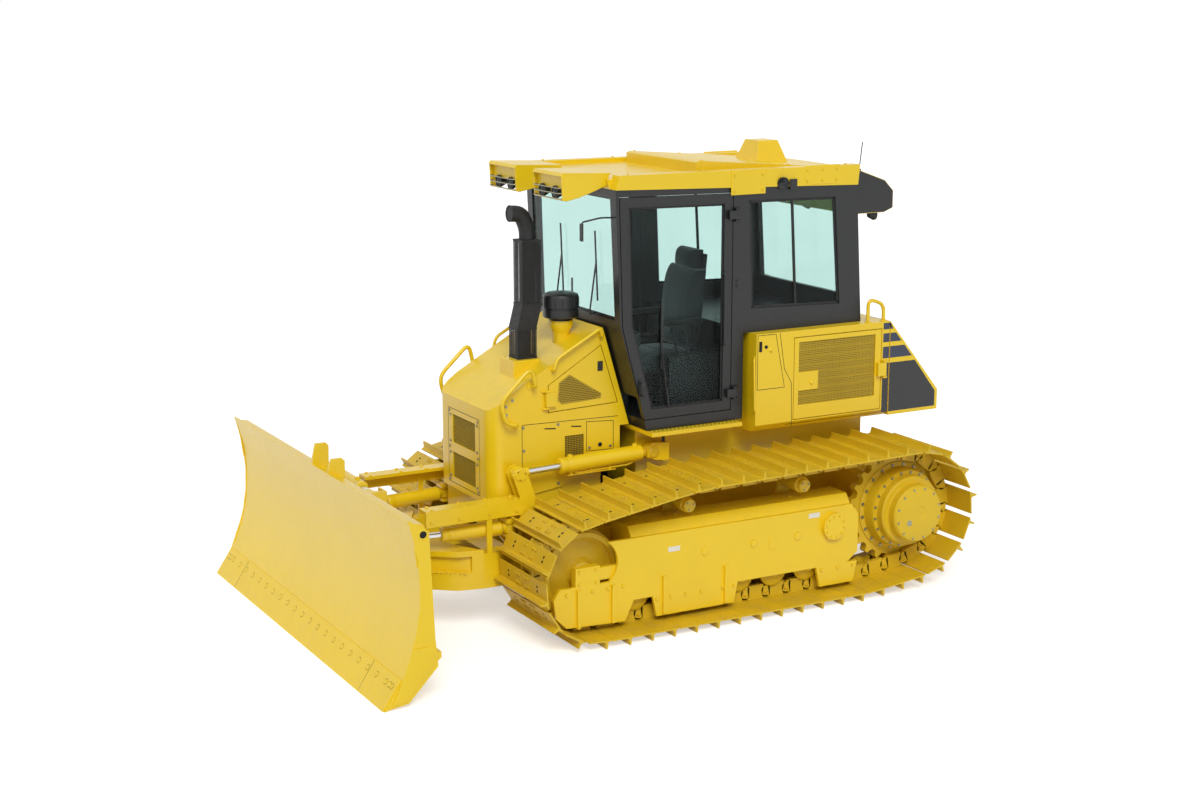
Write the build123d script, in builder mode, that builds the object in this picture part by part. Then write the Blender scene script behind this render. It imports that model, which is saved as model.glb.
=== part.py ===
from build123d import *
import math
import os

os.makedirs("parts", exist_ok=True)

# Overall sizes in millimetres: +X forward, +Y left, +Z up, ground at z 0
FRONT_X = 2530.0
REAR_X = -FRONT_X
TRACK_Y = 973.0
SHOE_WIDTH = 710.0
HULL_HALF = 430.0
HOOD_HALF = 450.0
CAB_HALF = 680.0
GLASS_HALF = CAB_HALF - 80.0
PLATE_HALF = CAB_HALF - 180.0
BODY_HALF = CAB_HALF + 100.0
BLADE_HALF = 1675.0
DOME_TOP = 3290.0

# Shared fits: running clearance of a pin, air beside a moving piece
RUN = 0.05
AIR = 6.0
SHELL = 15.0
WALL = 40.0
PANE = 8.0

# Running gear
IDLER = (790.0, 475.0)
SPROCKET = (-1930.0, 590.0)
IDLER_PINS = 358.0
SPROCKET_PINS = 415.0
TEETH = 23
TOOTH_TIP = SPROCKET_PINS + 8
TOOTH_ROOT = SPROCKET_PINS - 36
LINKS = 44
PIN_TO_RAIL = 52.0
PIN_TO_SHOE = 55.0
SHOE_PLATE = 12.0
GROUSER = 50.0
GROUSER_TIP = PIN_TO_SHOE + SHOE_PLATE + GROUSER
RAIL_IN = 45.0
RAIL_OUT = 85.0
ROLLER_X = [380.0 - 290.0 * step for step in range(7)]
ROLLER_R = 95.0
CARRIER_X = [-50.0, -1030.0]
CARRIER_TOP = [970.0, 990.0]
CARRIER_R = 60.0

# Track frame: side panels, idler yoke and the cross shaft under the hull
PANEL_IN = 150.0
PANEL_OUT = 177.0
YOKE_IN = 115.0
CROSS_SHAFT = (-1250.0, 560.0)
DRIVE_GUARD = TRACK_Y - PANEL_OUT

# Pivots of the push frame, blade and cylinders
TRUNNION = (-350.0, 480.0)
TRUNNION_R = 45.0
ARM_IN = 480.0
ARM_OUT = 600.0
LIFT_PIVOT = (-40.0, 1140.0)
LIFT_EYE = (1026.0, 1100.0)
LIFT_Y = 550.0
HEAD_X = 1810.0
ANGLE_REAR = (1090.0, 545.0)
ANGLE_EYE = (1875.0, 450.0)
ANGLE_Z = 720.0
TILT_Z = 560.0
PIN_R = 28.0
ROD_SIDES = 12
BARREL_SIDES = 20
BLADE_BACK = 2060.0
HEAD_REAR = 1965.0
HEAD_FRONT = 2045.0
TILT_REAR = (-420.0, 1010.0)
TILT_EYE = (330.0, 1010.0)
TILT_X = 1995.0
TILT_PIN = 22.0

# Hinges: pin radius, how far the axis stands off the wall and behind the opening
HINGE_R = 8.0
HINGE_OUT = 20.0
HINGE_BACK = 15.0


def block(x0, x1, y0, y1, z0, z1, mode=Mode.ADD):
    with Locations(((x0 + x1) / 2, (y0 + y1) / 2, (z0 + z1) / 2)):
        Box(x1 - x0, y1 - y0, z1 - z0, mode=mode)


def slab_face(plane, points):
    with BuildSketch(plane) as face:
        with BuildLine():
            Polyline(*points, close=True)
        make_face()
    return face.sketch


def side_slab(points, y0, y1, mode=Mode.ADD):
    extrude(slab_face(Plane.XZ.offset(-y1), points), amount=y1 - y0, mode=mode)


def plan_slab(points, z0, z1, mode=Mode.ADD):
    extrude(slab_face(Plane.XY.offset(z0), points), amount=z1 - z0, mode=mode)


def front_slab(points, x0, x1, mode=Mode.ADD):
    extrude(slab_face(Plane.YZ.offset(x0), points), amount=x1 - x0, mode=mode)


def bar(start, end, radius, mode=Mode.ADD):
    a, b = Vector(*start), Vector(*end)
    with BuildSketch(Plane(origin=a, z_dir=b - a)) as ring:
        Circle(radius)
    extrude(ring.sketch, amount=(b - a).length, mode=mode)





def rail(points, radius, bend, sides=8):
    """Tube of a few sides along a line whose corners are cut back by a bend."""
    line = [Vector(*points[0])]
    for before, corner, after in zip(points, points[1:], points[2:]):
        a, b, c = Vector(*before), Vector(*corner), Vector(*after)
        line += [b + (a - b).normalized() * bend, b + (c - b).normalized() * bend]
    line.append(Vector(*points[-1]))
    with BuildLine() as path:
        Polyline(*line)
    with BuildSketch(Plane(origin=line[0], z_dir=line[1] - line[0])) as ring:
        RegularPolygon(radius, sides)
    sweep(ring.sketch, path=path.line, transition=Transition.RIGHT)


def prism(start, end, radius, sides, mode=Mode.ADD):
    """Bar of a few sides, for round pieces that repeat or are hidden."""
    a, b = Vector(*start), Vector(*end)
    with BuildSketch(Plane(origin=a, z_dir=b - a)) as ring:
        RegularPolygon(radius, sides)
    extrude(ring.sketch, amount=(b - a).length, mode=mode)


def drum(x, z, y0, y1, radius, sides=12):
    """Roller across the machine with a flat at its top and bottom."""
    with BuildSketch(Plane.XZ.offset(-y1)) as ring:
        with Locations((x, z)):
            RegularPolygon(radius, sides, major_radius=False, rotation=180 / sides)
    extrude(ring.sketch, amount=y1 - y0)


def spans(side, near, far):
    """Y limits of something between near and far from the middle, on one side."""
    return (near, far) if side > 0 else (-far, -near)


def finish(builder, name):
    builder.part.label = name
    export_step(builder.part, "parts/" + name + ".step")


def hinge_points(axis, along, out, points):
    return [(axis[0] + a * along[0] + b * out[0], axis[1] + a * along[1] + b * out[1])
            for a, b in points]


def hinge_leaf(axis, along, out, z0, z1):
    """Knuckle with a running bore and the leaf that carries a door."""
    leaf = [(-12, -12), (-12, 12), (65, 12), (65, -HINGE_OUT), (27, -HINGE_OUT), (27, -12)]
    plan_slab(hinge_points(axis, along, out, leaf), z0, z1)
    bar((*axis, z0 - 1), (*axis, z1 + 1), HINGE_R + RUN, Mode.SUBTRACT)


def hinge_post(axis, along, out, z0, z1):
    """Two plates on the wall and the pin between them."""
    plate = [(-36, -HINGE_OUT), (-36, -8), (-12, 12), (12, 12), (12, -HINGE_OUT)]
    for low, high in ((z0 - AIR - 12, z0 - AIR), (z1 + AIR, z1 + AIR + 12)):
        plan_slab(hinge_points(axis, along, out, plate), low, high)
    bar((*axis, z0 - AIR - 12), (*axis, z1 + AIR + 12), HINGE_R)


# Track path: the pins' closed line round idler, rollers, sprocket and carriers
def hull_of_circles():
    circles = [(IDLER[0], IDLER[1], IDLER_PINS), (SPROCKET[0], SPROCKET[1], SPROCKET_PINS)]
    circles += [(x, top - CARRIER_R, CARRIER_R) for x, top in zip(CARRIER_X, CARRIER_TOP)]
    circles.append((ROLLER_X[-1] - 130, GROUSER_TIP + CARRIER_R, CARRIER_R))
    steps = 720
    points = [
        (x + r * math.cos(2 * math.pi * k / steps), z + r * math.sin(2 * math.pi * k / steps))
        for x, z, r in circles
        for k in range(steps)
    ]
    points = sorted(set((round(x, 4), round(z, 4)) for x, z in points))

    def half(seq):
        out = []
        for p in seq:
            while len(out) > 1 and (
                (out[-1][0] - out[-2][0]) * (p[1] - out[-2][1])
                - (out[-1][1] - out[-2][1]) * (p[0] - out[-2][0])
            ) <= 0:
                out.pop()
            out.append(p)
        return out[:-1]

    return half(points) + half(reversed(points))


def pin_line():
    line = hull_of_circles()
    start = min(range(len(line)), key=lambda k: abs(line[k][0] - IDLER[0]) + line[k][1])
    line = line[start:] + line[: start + 1]
    lengths = [math.dist(line[k], line[k + 1]) for k in range(len(line) - 1)]
    pitch = sum(lengths) / LINKS
    pins, walked, want = [], 0.0, 0.5 * pitch
    for k, length in enumerate(lengths):
        while want <= walked + length and len(pins) < LINKS:
            t = (want - walked) / length
            pins.append((
                line[k][0] + t * (line[k + 1][0] - line[k][0]),
                line[k][1] + t * (line[k + 1][1] - line[k][1]),
            ))
            want += pitch
        walked += length
    return pins


PINS = pin_line()


def link_frames():
    """Middle, direction and outward direction of every link, with its length."""
    frames = []
    for k in range(LINKS):
        a, b = PINS[k], PINS[(k + 1) % LINKS]
        length = math.dist(a, b)
        along = ((b[0] - a[0]) / length, (b[1] - a[1]) / length)
        frames.append((((a[0] + b[0]) / 2, (a[1] + b[1]) / 2), along, (along[1], -along[0]), length))
    return frames


FRAMES = link_frames()


def offset_line(distance):
    """Corners of the pins' polygon moved outward by a distance."""
    corners = []
    for k in range(LINKS):
        n0, n1 = FRAMES[k - 1][2], FRAMES[k][2]
        scale = distance / (1.0 + n0[0] * n1[0] + n0[1] * n1[1])
        corners.append((PINS[k][0] + (n0[0] + n1[0]) * scale, PINS[k][1] + (n0[1] + n1[1]) * scale))
    return corners


def seat_radius(centre):
    """Radius of a wheel that rests on the rails from a centre inside the loop."""
    best = 1e9
    for middle, along, out, length in FRAMES:
        dx, dz = centre[0] - middle[0], centre[1] - middle[1]
        if abs(dx * along[0] + dz * along[1]) <= length / 2 + PIN_TO_RAIL:
            best = min(best, abs(dx * out[0] + dz * out[1]) - PIN_TO_RAIL)
    return best


def shoe_outline():
    """Outer line of the track: one flat plate and one grouser to each link."""
    corners = offset_line(PIN_TO_SHOE + SHOE_PLATE)
    outline = []
    for k in range(LINKS):
        middle, along, out, length = FRAMES[k]
        outline.append(corners[k])
        for run, rise in ((-62, 0), (-58, GROUSER), (-48, GROUSER), (-40, 0)):
            rise += PIN_TO_SHOE + SHOE_PLATE
            outline.append((
                middle[0] + along[0] * run + out[0] * rise,
                middle[1] + along[1] * run + out[1] * rise,
            ))
    return outline


def build_track(side, name):
    centre = side * TRACK_Y
    with BuildPart() as track:
        side_slab(shoe_outline(), centre - SHOE_WIDTH / 2, centre + SHOE_WIDTH / 2)
        side_slab(offset_line(PIN_TO_SHOE), centre - SHOE_WIDTH / 2, centre + SHOE_WIDTH / 2,
                  Mode.SUBTRACT)
        for rail in (-1, 1):
            y0, y1 = spans(rail, RAIL_IN, RAIL_OUT)
            extrude(rail_ring(centre + y1), amount=y1 - y0)
    finish(track, name)


def rail_ring(top_y):
    with BuildSketch(Plane.XZ.offset(-top_y)) as ring:
        with BuildLine():
            Polyline(*offset_line(PIN_TO_SHOE), close=True)
        make_face()
        with BuildLine():
            Polyline(*offset_line(-PIN_TO_RAIL), close=True)
        make_face(mode=Mode.SUBTRACT)
    return ring.sketch


def sprocket_outline():
    """Toothed line of the sprocket: two points at each root and two at each tip."""
    points = []
    for k in range(TEETH):
        for share, radius in ((0.0, TOOTH_ROOT), (0.38, TOOTH_ROOT), (0.54, TOOTH_TIP),
                              (0.84, TOOTH_TIP)):
            angle = 2 * math.pi * (k + share) / TEETH
            points.append((SPROCKET[0] + radius * math.cos(angle),
                           SPROCKET[1] + radius * math.sin(angle)))
    return points


def build_wheels(side, name):
    centre = side * TRACK_Y
    with BuildPart() as wheels:
        rim = seat_radius(IDLER)
        for radius, half in ((rim - 3, 88), (rim + 17, RAIL_IN - 4), (75, YOKE_IN)):
            drum(*IDLER, centre - half, centre + half, radius, 24)
        for x in ROLLER_X:
            z = GROUSER_TIP + PIN_TO_RAIL + ROLLER_R
            drum(x, z, centre - 88, centre + 88, ROLLER_R)
            for y0, y1 in ((88, 108), (-108, -88)):
                drum(x, z, centre + y0, centre + y1, ROLLER_R + 18)
            for y0, y1 in ((108, PANEL_IN), (-PANEL_IN, -108)):
                drum(x, z, centre + y0, centre + y1, 36, 8)
        for x, top in zip(CARRIER_X, CARRIER_TOP):
            z = top - PIN_TO_RAIL - CARRIER_R - 2
            drum(x, z, centre - 100, centre + 90, seat_radius((x, z)) * math.cos(math.pi / 12))
            drum(x, z, centre + 90, centre + 130, 48)
            drum(x, z, centre - PANEL_IN, centre - 100, 30, 8)
        side_slab(sprocket_outline(), centre - 35, centre + 35)
        for radius, y0, y1 in ((300, 35, 150), (262, 150, 230), (217, 230, 327)):
            y0, y1 = (y0, y1) if side > 0 else (-y1, -y0)
            drum(*SPROCKET, centre + y0, centre + y1, radius, 20)
    finish(wheels, name)


def frame_panel(y0, y1):
    """Side panel with a round cut for the idler and a guard that runs under it."""
    with BuildSketch(Plane.XZ.offset(-y1)) as face:
        with BuildLine():
            ThreePointArc((640, 700), (560, 560), (625, 414))
            Polyline((625, 414), (1010, 414), (1060, 340), (1040, 210), (960, 130), (500, 110),
                     (430, 255), (-1380, 255), (-1480, 330), (-1480, 620), (-1420, 700), (640, 700))
        make_face()
    extrude(face.sketch, amount=y1 - y0)


def roller_guard(x0, x1, slant, low, y0, y1):
    """Trapezoid plate that hangs under the panel beside the rollers."""
    side_slab([(x0, 260), (x0 + slant, low), (x1 - slant, low), (x1, 260)], y0, y1)


def build_track_frame(side, name):
    c = side * TRACK_Y
    section = [(c - PANEL_IN, 385), (c + PANEL_IN, 385), (c + PANEL_IN, 700), (c + 100, 770),
               (c - 100, 770), (c - PANEL_IN, 700)]
    with BuildPart() as frame:
        front_slab(section, -1420, 440)
        for end in (-1, 1):
            y0, y1 = spans(end, PANEL_IN, PANEL_OUT)
            frame_panel(c + y0, c + y1)
            for x0, x1 in ((-430, 280), (-1480, -1110)):
                roller_guard(x0, x1, 35, 105, c + y0, c + y1)
            y0, y1 = spans(end, YOKE_IN, PANEL_OUT)
            block(700, 890, c + y0, c + y1, 405, 545)
            y0, y1 = spans(end, YOKE_IN, PANEL_IN)
            block(430, 705, c + y0, c + y1, 430, 520)
        for x in (-330, 180, 590, 860):
            y0, y1 = spans(side, PANEL_OUT - 5, PANEL_OUT + 23)
            side_slab([(x, 120), (x + 24, 120), (x + 24, 395), (x, 395)], c + y0, c + y1)
        y0, y1 = spans(side, PANEL_OUT - 5, PANEL_OUT + 38)
        drum(*CROSS_SHAFT, c + y0, c + y1, 100, 16)
        for x, top in zip(CARRIER_X, CARRIER_TOP):
            z = top - PIN_TO_RAIL - CARRIER_R - 2
            side_slab([(x - 70, 690), (x + 70, 690), (x + 35, z + 35), (x - 35, z + 35)],
                      c - PANEL_OUT, c - PANEL_IN)
        y0, y1 = spans(side, DRIVE_GUARD, DRIVE_GUARD + 30)
        side_slab([(-1370, 640), (-1370, 375), (-1480, 330), (-1850, 330), (-1850, 400),
                   (-1755, 470), (-1755, 640)], y0, y1)
    finish(frame, name)


# Hull, cross tubes, final drives, drawbar, tower under the cab and cylinder brackets
def build_main_frame():
    with BuildPart() as hull:
        block(-2130, 1040, -HULL_HALF, HULL_HALF, 400, 540)
        for side in (-1, 1):
            y0, y1 = spans(side, HULL_HALF - 30, HULL_HALF)
            side_slab([(-200, 540), (1040, 540), (1120, 640), (1120, 840), (-200, 840)], y0, y1)
            block(300, 1000, *spans(side, HULL_HALF - 30, HOOD_HALF - SHELL), 800, 1020)
        block(1040, 1120, -HULL_HALF, HULL_HALF, 640, 840)
        block(-2130, -200, -400, 400, 540, 960)
        block(-800, 20, -HOOD_HALF, HOOD_HALF, 960, 1290)
        block(-2000, -800, -HOOD_HALF, HOOD_HALF, 960, 1230)
        side_slab([(-200, 540), (-200, 960), (20, 960), (20, 840)], -HULL_HALF, HULL_HALF)
        inner_face = TRACK_Y - PANEL_OUT
        prism((CROSS_SHAFT[0], -inner_face, CROSS_SHAFT[1]), (CROSS_SHAFT[0], inner_face, CROSS_SHAFT[1]),
              70, 12)
        block(-690, -550, -inner_face, inner_face, 480, 620)
        for side in (-1, 1):
            y0, y1 = spans(side, 300, TRACK_Y - 35)
            prism((SPROCKET[0], y0, SPROCKET[1]), (SPROCKET[0], y1, SPROCKET[1]), 170, 20)
            y0, y1 = spans(side, HULL_HALF - 5, ARM_IN - AIR)
            prism((TRUNNION[0], y0, TRUNNION[1]), (TRUNNION[0], y1, TRUNNION[1]), 95, 16)
            y0, y1 = spans(side, HULL_HALF - 5, ARM_OUT + AIR)
            bar((TRUNNION[0], y0, TRUNNION[1]), (TRUNNION[0], y1, TRUNNION[1]), TRUNNION_R)
        block(REAR_X, -2130, -70, 70, 440, 500)
        bar((REAR_X + 70, 0, 430), (REAR_X + 70, 0, 510), 26, Mode.SUBTRACT)
        block(-2160, -2130, -360, 360, 420, 940)
        for y in (-250, 250):
            for z in (560, 840):
                bar((-2165, y, z), (-2120, y, z), 13, Mode.SUBTRACT)
    finish(hull, "main_frame")


def build_side_brackets():
    """Lift cylinder brackets on the hull's sides and the step plate over them."""
    with BuildPart() as brackets:
        for side in (-1, 1):
            lift_bracket(side)
        block(-700, 60, -760, 760, 1290, 1320)
    finish(brackets, "side_brackets")


def lift_bracket(side):
    x, z = LIFT_PIVOT
    inner, outer = LIFT_Y - 35 - AIR, LIFT_Y + 35 + AIR
    ear = [(x - 110, z + 60), (x - 110, z - 70), (x - 20, z - 60), (x + 50, z - 30),
           (x + 50, z + 40), (x + 10, z + 70)]
    side_slab(ear, *spans(side, HOOD_HALF, inner))
    side_slab(ear, *spans(side, outer, outer + 22))
    block(x - 130, x - 75, *spans(side, HOOD_HALF, outer + 22), z - 70, z + 60)
    block(x - 130, x - 20, *spans(side, HOOD_HALF, HOOD_HALF + 10), z - 70, z + 60)
    y0, y1 = spans(side, inner - 5, outer + 5)
    bar((x, y0, z), (x, y1, z), PIN_R)


# Push frame: arms, curved front member, lift ears and guard beams
def frame_ring():
    half = [(900, 600), (1320, 600), (1500, 560), (1640, 450), (1730, 300), (1790, 130)]
    inner = [(1720, 90), (1640, 230), (1560, 360), (1450, 450), (1300, 480), (900, 480)]
    return half, inner


def build_c_frame():
    outer, inner = frame_ring()
    with BuildPart() as frame:
        for side in (-1, 1):
            y0, y1 = spans(side, ARM_IN, ARM_OUT)
            side_slab([(-350, 400), (0, 420), (700, 420), (1100, 330), (1100, 560), (-350, 560)],
                      y0, y1)
            prism((TRUNNION[0], y0, TRUNNION[1]), (TRUNNION[0], y1, TRUNNION[1]), 80, 16)
            ring = [(x, side * y) for x, y in outer + inner]
            plan_slab(ring, 320, 570)
            plate = [(x, side * y) for x, y in outer[1:] + [(1790, 60), (1500, 60), (1440, 380)]]
            plan_slab(plate, 570, 600)
            recess = [(1400, 660), (1400, 555), (1500, 515), (1640, 400), (1760, 400), (1650, 660)]
            plan_slab([(x, side * y) for x, y in recess], 445, 560, Mode.SUBTRACT)
            lift_ears(side)
            guard(side)
            angle_mount(side)
        block(1560, 1790, -130, 130, 320, 350)
        prism((HEAD_X, 0, 320), (HEAD_X, 0, 350), 95, 20)
        prism((HEAD_X, 0, 570), (HEAD_X, 0, 600), 95, 20)
        block(1560, 1810, -95, 95, 570, 600)
        block(1560, 1705, -240, 240, 320, 600)
        bar((HEAD_X, 0, 320), (HEAD_X, 0, 610), 45)
        for side in (-1, 1):
            y0, y1 = spans(side, ARM_IN - 20, ARM_OUT + 20)
            bar((TRUNNION[0], y0, TRUNNION[1]), (TRUNNION[0], y1, TRUNNION[1]),
                TRUNNION_R + RUN, Mode.SUBTRACT)
    finish(frame, "push_frame")


def lift_ears(side):
    x, z = LIFT_EYE
    ear = [(700, 550), (1000, 550), (1010, 880), (x + 45, z - 45), (x + 60, z), (x + 42, z + 42),
           (x, z + 60), (x - 40, z + 40), (900, 900), (840, 760)]
    side_slab(ear, *spans(side, LIFT_Y - 53, LIFT_Y - 33))
    side_slab(ear, *spans(side, LIFT_Y + 33, LIFT_Y + 53))
    block(760, 960, *spans(side, LIFT_Y - 53, LIFT_Y + 53), 550, 800)


def guard(side):
    y0, y1 = spans(side, ARM_IN + 5, ARM_OUT + 5)
    block(1010, 1750, y0, y1, 905, 930)
    block(1010, 1750, *spans(side, ARM_OUT - 15, ARM_OUT + 5), 815, 930)
    block(1010, 1030, *spans(side, ARM_IN + 5, ARM_IN + 25), 560, 930)
    block(1010, 1030, *spans(side, ARM_OUT - 15, ARM_OUT + 5), 560, 930)
    block(1250, 1290, *spans(side, ARM_OUT + 3 - 20, ARM_OUT), 560, 930)


def angle_mount(side):
    x, y = ANGLE_REAR
    block(1010, x + 45, *spans(side, y - 55, y + 55), ANGLE_Z - 60, ANGLE_Z - 40)
    block(1010, x + 45, *spans(side, y - 55, y + 55), ANGLE_Z + 40, ANGLE_Z + 60)
    block(1010, x - 54, *spans(side, y - 55, y + 55), 550, ANGLE_Z + 60)
    bar((x, side * y, ANGLE_Z - 60), (x, side * y, ANGLE_Z + 60), PIN_R)


# Angling head: vertical boss, column, wings for the angle cylinders, tilt pin
def build_head():
    with BuildPart() as head:
        prism((HEAD_X, 0, 350 + AIR), (HEAD_X, 0, 570 - AIR), 90, 20)
        block(HEAD_X + 15, HEAD_FRONT, -70, 70, 350 + AIR, 570 - AIR)
        block(HEAD_REAR, HEAD_FRONT, -85, 85, 350 + AIR, 900)
        block(HEAD_REAR, HEAD_FRONT, -500, 500, 645, 795)
        for side in (-1, 1):
            x, y = ANGLE_EYE
            for z0, z1 in ((ANGLE_Z - 75, ANGLE_Z - 45), (ANGLE_Z + 45, ANGLE_Z + 75)):
                block(x - 50, HEAD_REAR + 5, *spans(side, y - 110, y + 50), z0, z1)
        block(HEAD_REAR, BLADE_BACK - AIR, -90, 90, TILT_Z - 90, TILT_Z + 90)
        bar((HEAD_REAR + 25, 0, TILT_Z), (BLADE_BACK + 60, 0, TILT_Z), 55)
        tilt_ears(TILT_REAR)
        bar((HEAD_X, 0, 300), (HEAD_X, 0, 620), 45 + RUN, Mode.SUBTRACT)
    finish(head, "angle_head")


def tilt_ears(at):
    y, z = at
    for x0, x1 in ((TILT_X - 46, TILT_X - 30), (TILT_X + 30, TILT_X + 46)):
        block(x0, x1, y - 50, y + 46, z - 70, z + 50)
    block(HEAD_REAR, TILT_X + 46, y - 50, y + 46, 790, z - 65)
    bar((TILT_X - 45, y, z), (TILT_X + 45, y, z), TILT_PIN)


# Blade: one arc from the cutting edge to the top gives every piece its front line
ARC_LOW, ARC_DEEP, ARC_TOP = (2395.0, 190.0), (2262.0, 660.0), (2335.0, 1205.0)


def arc_circle():
    (ax, az), (bx, bz), (cx, cz) = ARC_LOW, ARC_DEEP, ARC_TOP
    d = 2 * (ax * (bz - cz) + bx * (cz - az) + cx * (az - bz))
    a2, b2, c2 = ax * ax + az * az, bx * bx + bz * bz, cx * cx + cz * cz
    x = (a2 * (bz - cz) + b2 * (cz - az) + c2 * (az - bz)) / d
    z = (a2 * (cx - bx) + b2 * (ax - cx) + c2 * (bx - ax)) / d
    return x, z, math.dist((x, z), (ax, az))


ARC_X, ARC_Z, ARC_R = arc_circle()


def face_x(z):
    """X of the mouldboard's front at a height."""
    return ARC_X - math.sqrt(ARC_R ** 2 - (z - ARC_Z) ** 2)


def mouldboard_face(thickness, plane):
    low, deep, top = ARC_LOW, ARC_DEEP, ARC_TOP
    with BuildSketch(plane) as face:
        with BuildLine():
            ThreePointArc(low, deep, top)
            Line(top, (top[0] - thickness, top[1]))
            ThreePointArc((top[0] - thickness, top[1]), (deep[0] - thickness, deep[1]),
                          (low[0] - thickness, low[1]))
            Line((low[0] - thickness, low[1]), low)
        make_face()
    return face.sketch


def build_blade():
    with BuildPart() as blade:
        extrude(mouldboard_face(22, Plane.XZ.offset(-(BLADE_HALF - 20))),
                amount=2 * (BLADE_HALF - 20))
        end = [(2335, 1215), (2195, 1130), (2165, 430), (2148, 240), (2353, 28), (2482, 9),
               (2520, 0), (2395, 190)]
        end += [(face_x(z) + 4, z) for z in (330, 480, 640, 800, 960, 1085)]
        wear = [(face_x(380) + 4, 380), (2190, 380), (2178, 262), (2360, 50), (2470, 30), (2395, 190)]
        for side in (-1, 1):
            side_slab(end, *spans(side, BLADE_HALF - 20, BLADE_HALF - 8))
            side_slab(wear, *spans(side, BLADE_HALF - 9, BLADE_HALF))
        rib = [(face_x(z) - 10, z) for z in (900, 780, 660, 500, 340, 210)]
        rib += [(2360, 160), (BLADE_BACK, 330), (BLADE_BACK, 800)]
        for y in (-1300, -760, -230, 230, 760, 1300):
            side_slab(rib, y - 12, y + 12)
        side_slab([(2373, 191), (2371, 190), (2397, 151), (2350, 130), (BLADE_BACK + 60, 290),
                   (BLADE_BACK + 60, 330), (face_x(330) - 10, 330), (face_x(260) - 10, 260)],
                  20 - BLADE_HALF, BLADE_HALF - 20)
        side_slab([(face_x(1190) - 10, 1190), (2230, 1175), (2200, 1120), (2200, 1060),
                   (face_x(1060) - 10, 1060)], 20 - BLADE_HALF, BLADE_HALF - 20)
        block(BLADE_BACK, 2245, -240, 240, 440, 800)
        for y, top in ((-15, 1345), (285, 1300)):
            side_slab([(2210, 1060), (2205, top - 20), (2225, top), (2300, top), (2325, 1235),
                       (face_x(1060) - 10, 1060)], y - 12, y + 12)
        bar((BLADE_BACK - 5, 0, TILT_Z), (BLADE_BACK + 70, 0, TILT_Z), 55 + RUN, Mode.SUBTRACT)
        y, z = TILT_EYE
        for x0, x1 in ((TILT_X - 46, TILT_X - 30), (TILT_X + 30, TILT_X + 46)):
            block(x0, x1, y - 45, y + 80, z - 50, z + 50)
        block(TILT_X - 46, TILT_X + 46, y + 60, y + 80, z - 50, z + 50)
        side_slab([(TILT_X + 40, z - 50), (TILT_X + 40, z + 50), (face_x(z + 50) - 10, z + 50), (face_x(z - 50) - 10, z - 50)],
                  y - 45, y + 80)
    finish(blade, "blade")


def build_cutting_edge():
    with BuildPart() as edge:
        side_slab([(FRONT_X, 0), (2498, 0), (2371, 190), (2403, 190)],
                  20 - BLADE_HALF, BLADE_HALF - 20)
    finish(edge, "cutting_edge")


# Cylinders: a barrel with a bored rear eye and a rod with a plain eye
def build_barrel(name, rear, toward, radius, length, eye_axis, eye_half, eye_r, pin_r):
    a, b = Vector(*rear), Vector(*toward)
    u = (b - a).normalized()
    n = Vector(*eye_axis)
    with BuildPart() as barrel:
        bar(tuple(a - n * eye_half), tuple(a + n * eye_half), eye_r)
        prism(tuple(a + u * eye_r * 0.7), tuple(a + u * (eye_r + 30)), eye_half - 1, 8)
        prism(tuple(a + u * (eye_r + 15)), tuple(a + u * length), radius, BARREL_SIDES)
        bar(tuple(a - n * (eye_half + 5)), tuple(a + n * (eye_half + 5)), pin_r + RUN,
            Mode.SUBTRACT)
        bore = radius * 0.4 + RUN / math.cos(math.pi / ROD_SIDES)
        prism(tuple(a + u * (eye_r + 30)), tuple(a + u * (length + 10)), bore, ROD_SIDES,
              Mode.SUBTRACT)
    finish(barrel, name)


def build_rod(name, rear, eye, radius, inside, eye_axis, eye_half, eye_r):
    a, b = Vector(*rear), Vector(*eye)
    u = (b - a).normalized()
    n = Vector(*eye_axis)
    with BuildPart() as rod:
        prism(tuple(a + u * inside), tuple(b), radius, ROD_SIDES)
        prism(tuple(b - n * eye_half), tuple(b + n * eye_half), eye_r, BARREL_SIDES)
    finish(rod, name)


def build_cylinders():
    for side, tag in ((1, "left"), (-1, "right")):
        rear = (LIFT_PIVOT[0], side * LIFT_Y, LIFT_PIVOT[1])
        eye = (LIFT_EYE[0], side * LIFT_Y, LIFT_EYE[1])
        build_barrel("lift_barrel_" + tag, rear, eye, 58, 740, (0, 1, 0), 35, 58, PIN_R)
        build_rod("lift_rod_" + tag, rear, eye, 58 * 0.4, 300, (0, 1, 0), 27, 50)
        rear = (ANGLE_REAR[0], side * ANGLE_REAR[1], ANGLE_Z)
        eye = (ANGLE_EYE[0], side * ANGLE_EYE[1], ANGLE_Z)
        build_barrel("angle_barrel_" + tag, rear, eye, 52, 505, (0, 0, 1), 34, 48, PIN_R)
        build_rod("angle_rod_" + tag, rear, eye, 52 * 0.4, 285, (0, 0, 1), 38, 42)
    rear = (TILT_X, *TILT_REAR)
    eye = (TILT_X, *TILT_EYE)
    build_barrel("tilt_barrel", rear, eye, 48, 500, (1, 0, 0), 24, 44, TILT_PIN)
    build_rod("tilt_rod", rear, eye, 48 * 0.4, 150, (1, 0, 0), 24, 38)


# Hood: a shell with side door openings, two panel openings in the nose
HOOD_SIDE = [(1180, 850), (1180, 1530), (1016, 1650), (290, 2055), (110, 1450), (75, 1330),
             (150, 1330), (150, 1075), (640, 932), (1015, 885)]
HOOD_DOOR = [(732, 1480), (732, 1680), (305, 1935), (165, 1500)]
HOOD_HINGE_X = HOOD_DOOR[0][0] + HINGE_BACK
HOOD_HINGE_Z = ((1530, 1630),)


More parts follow.
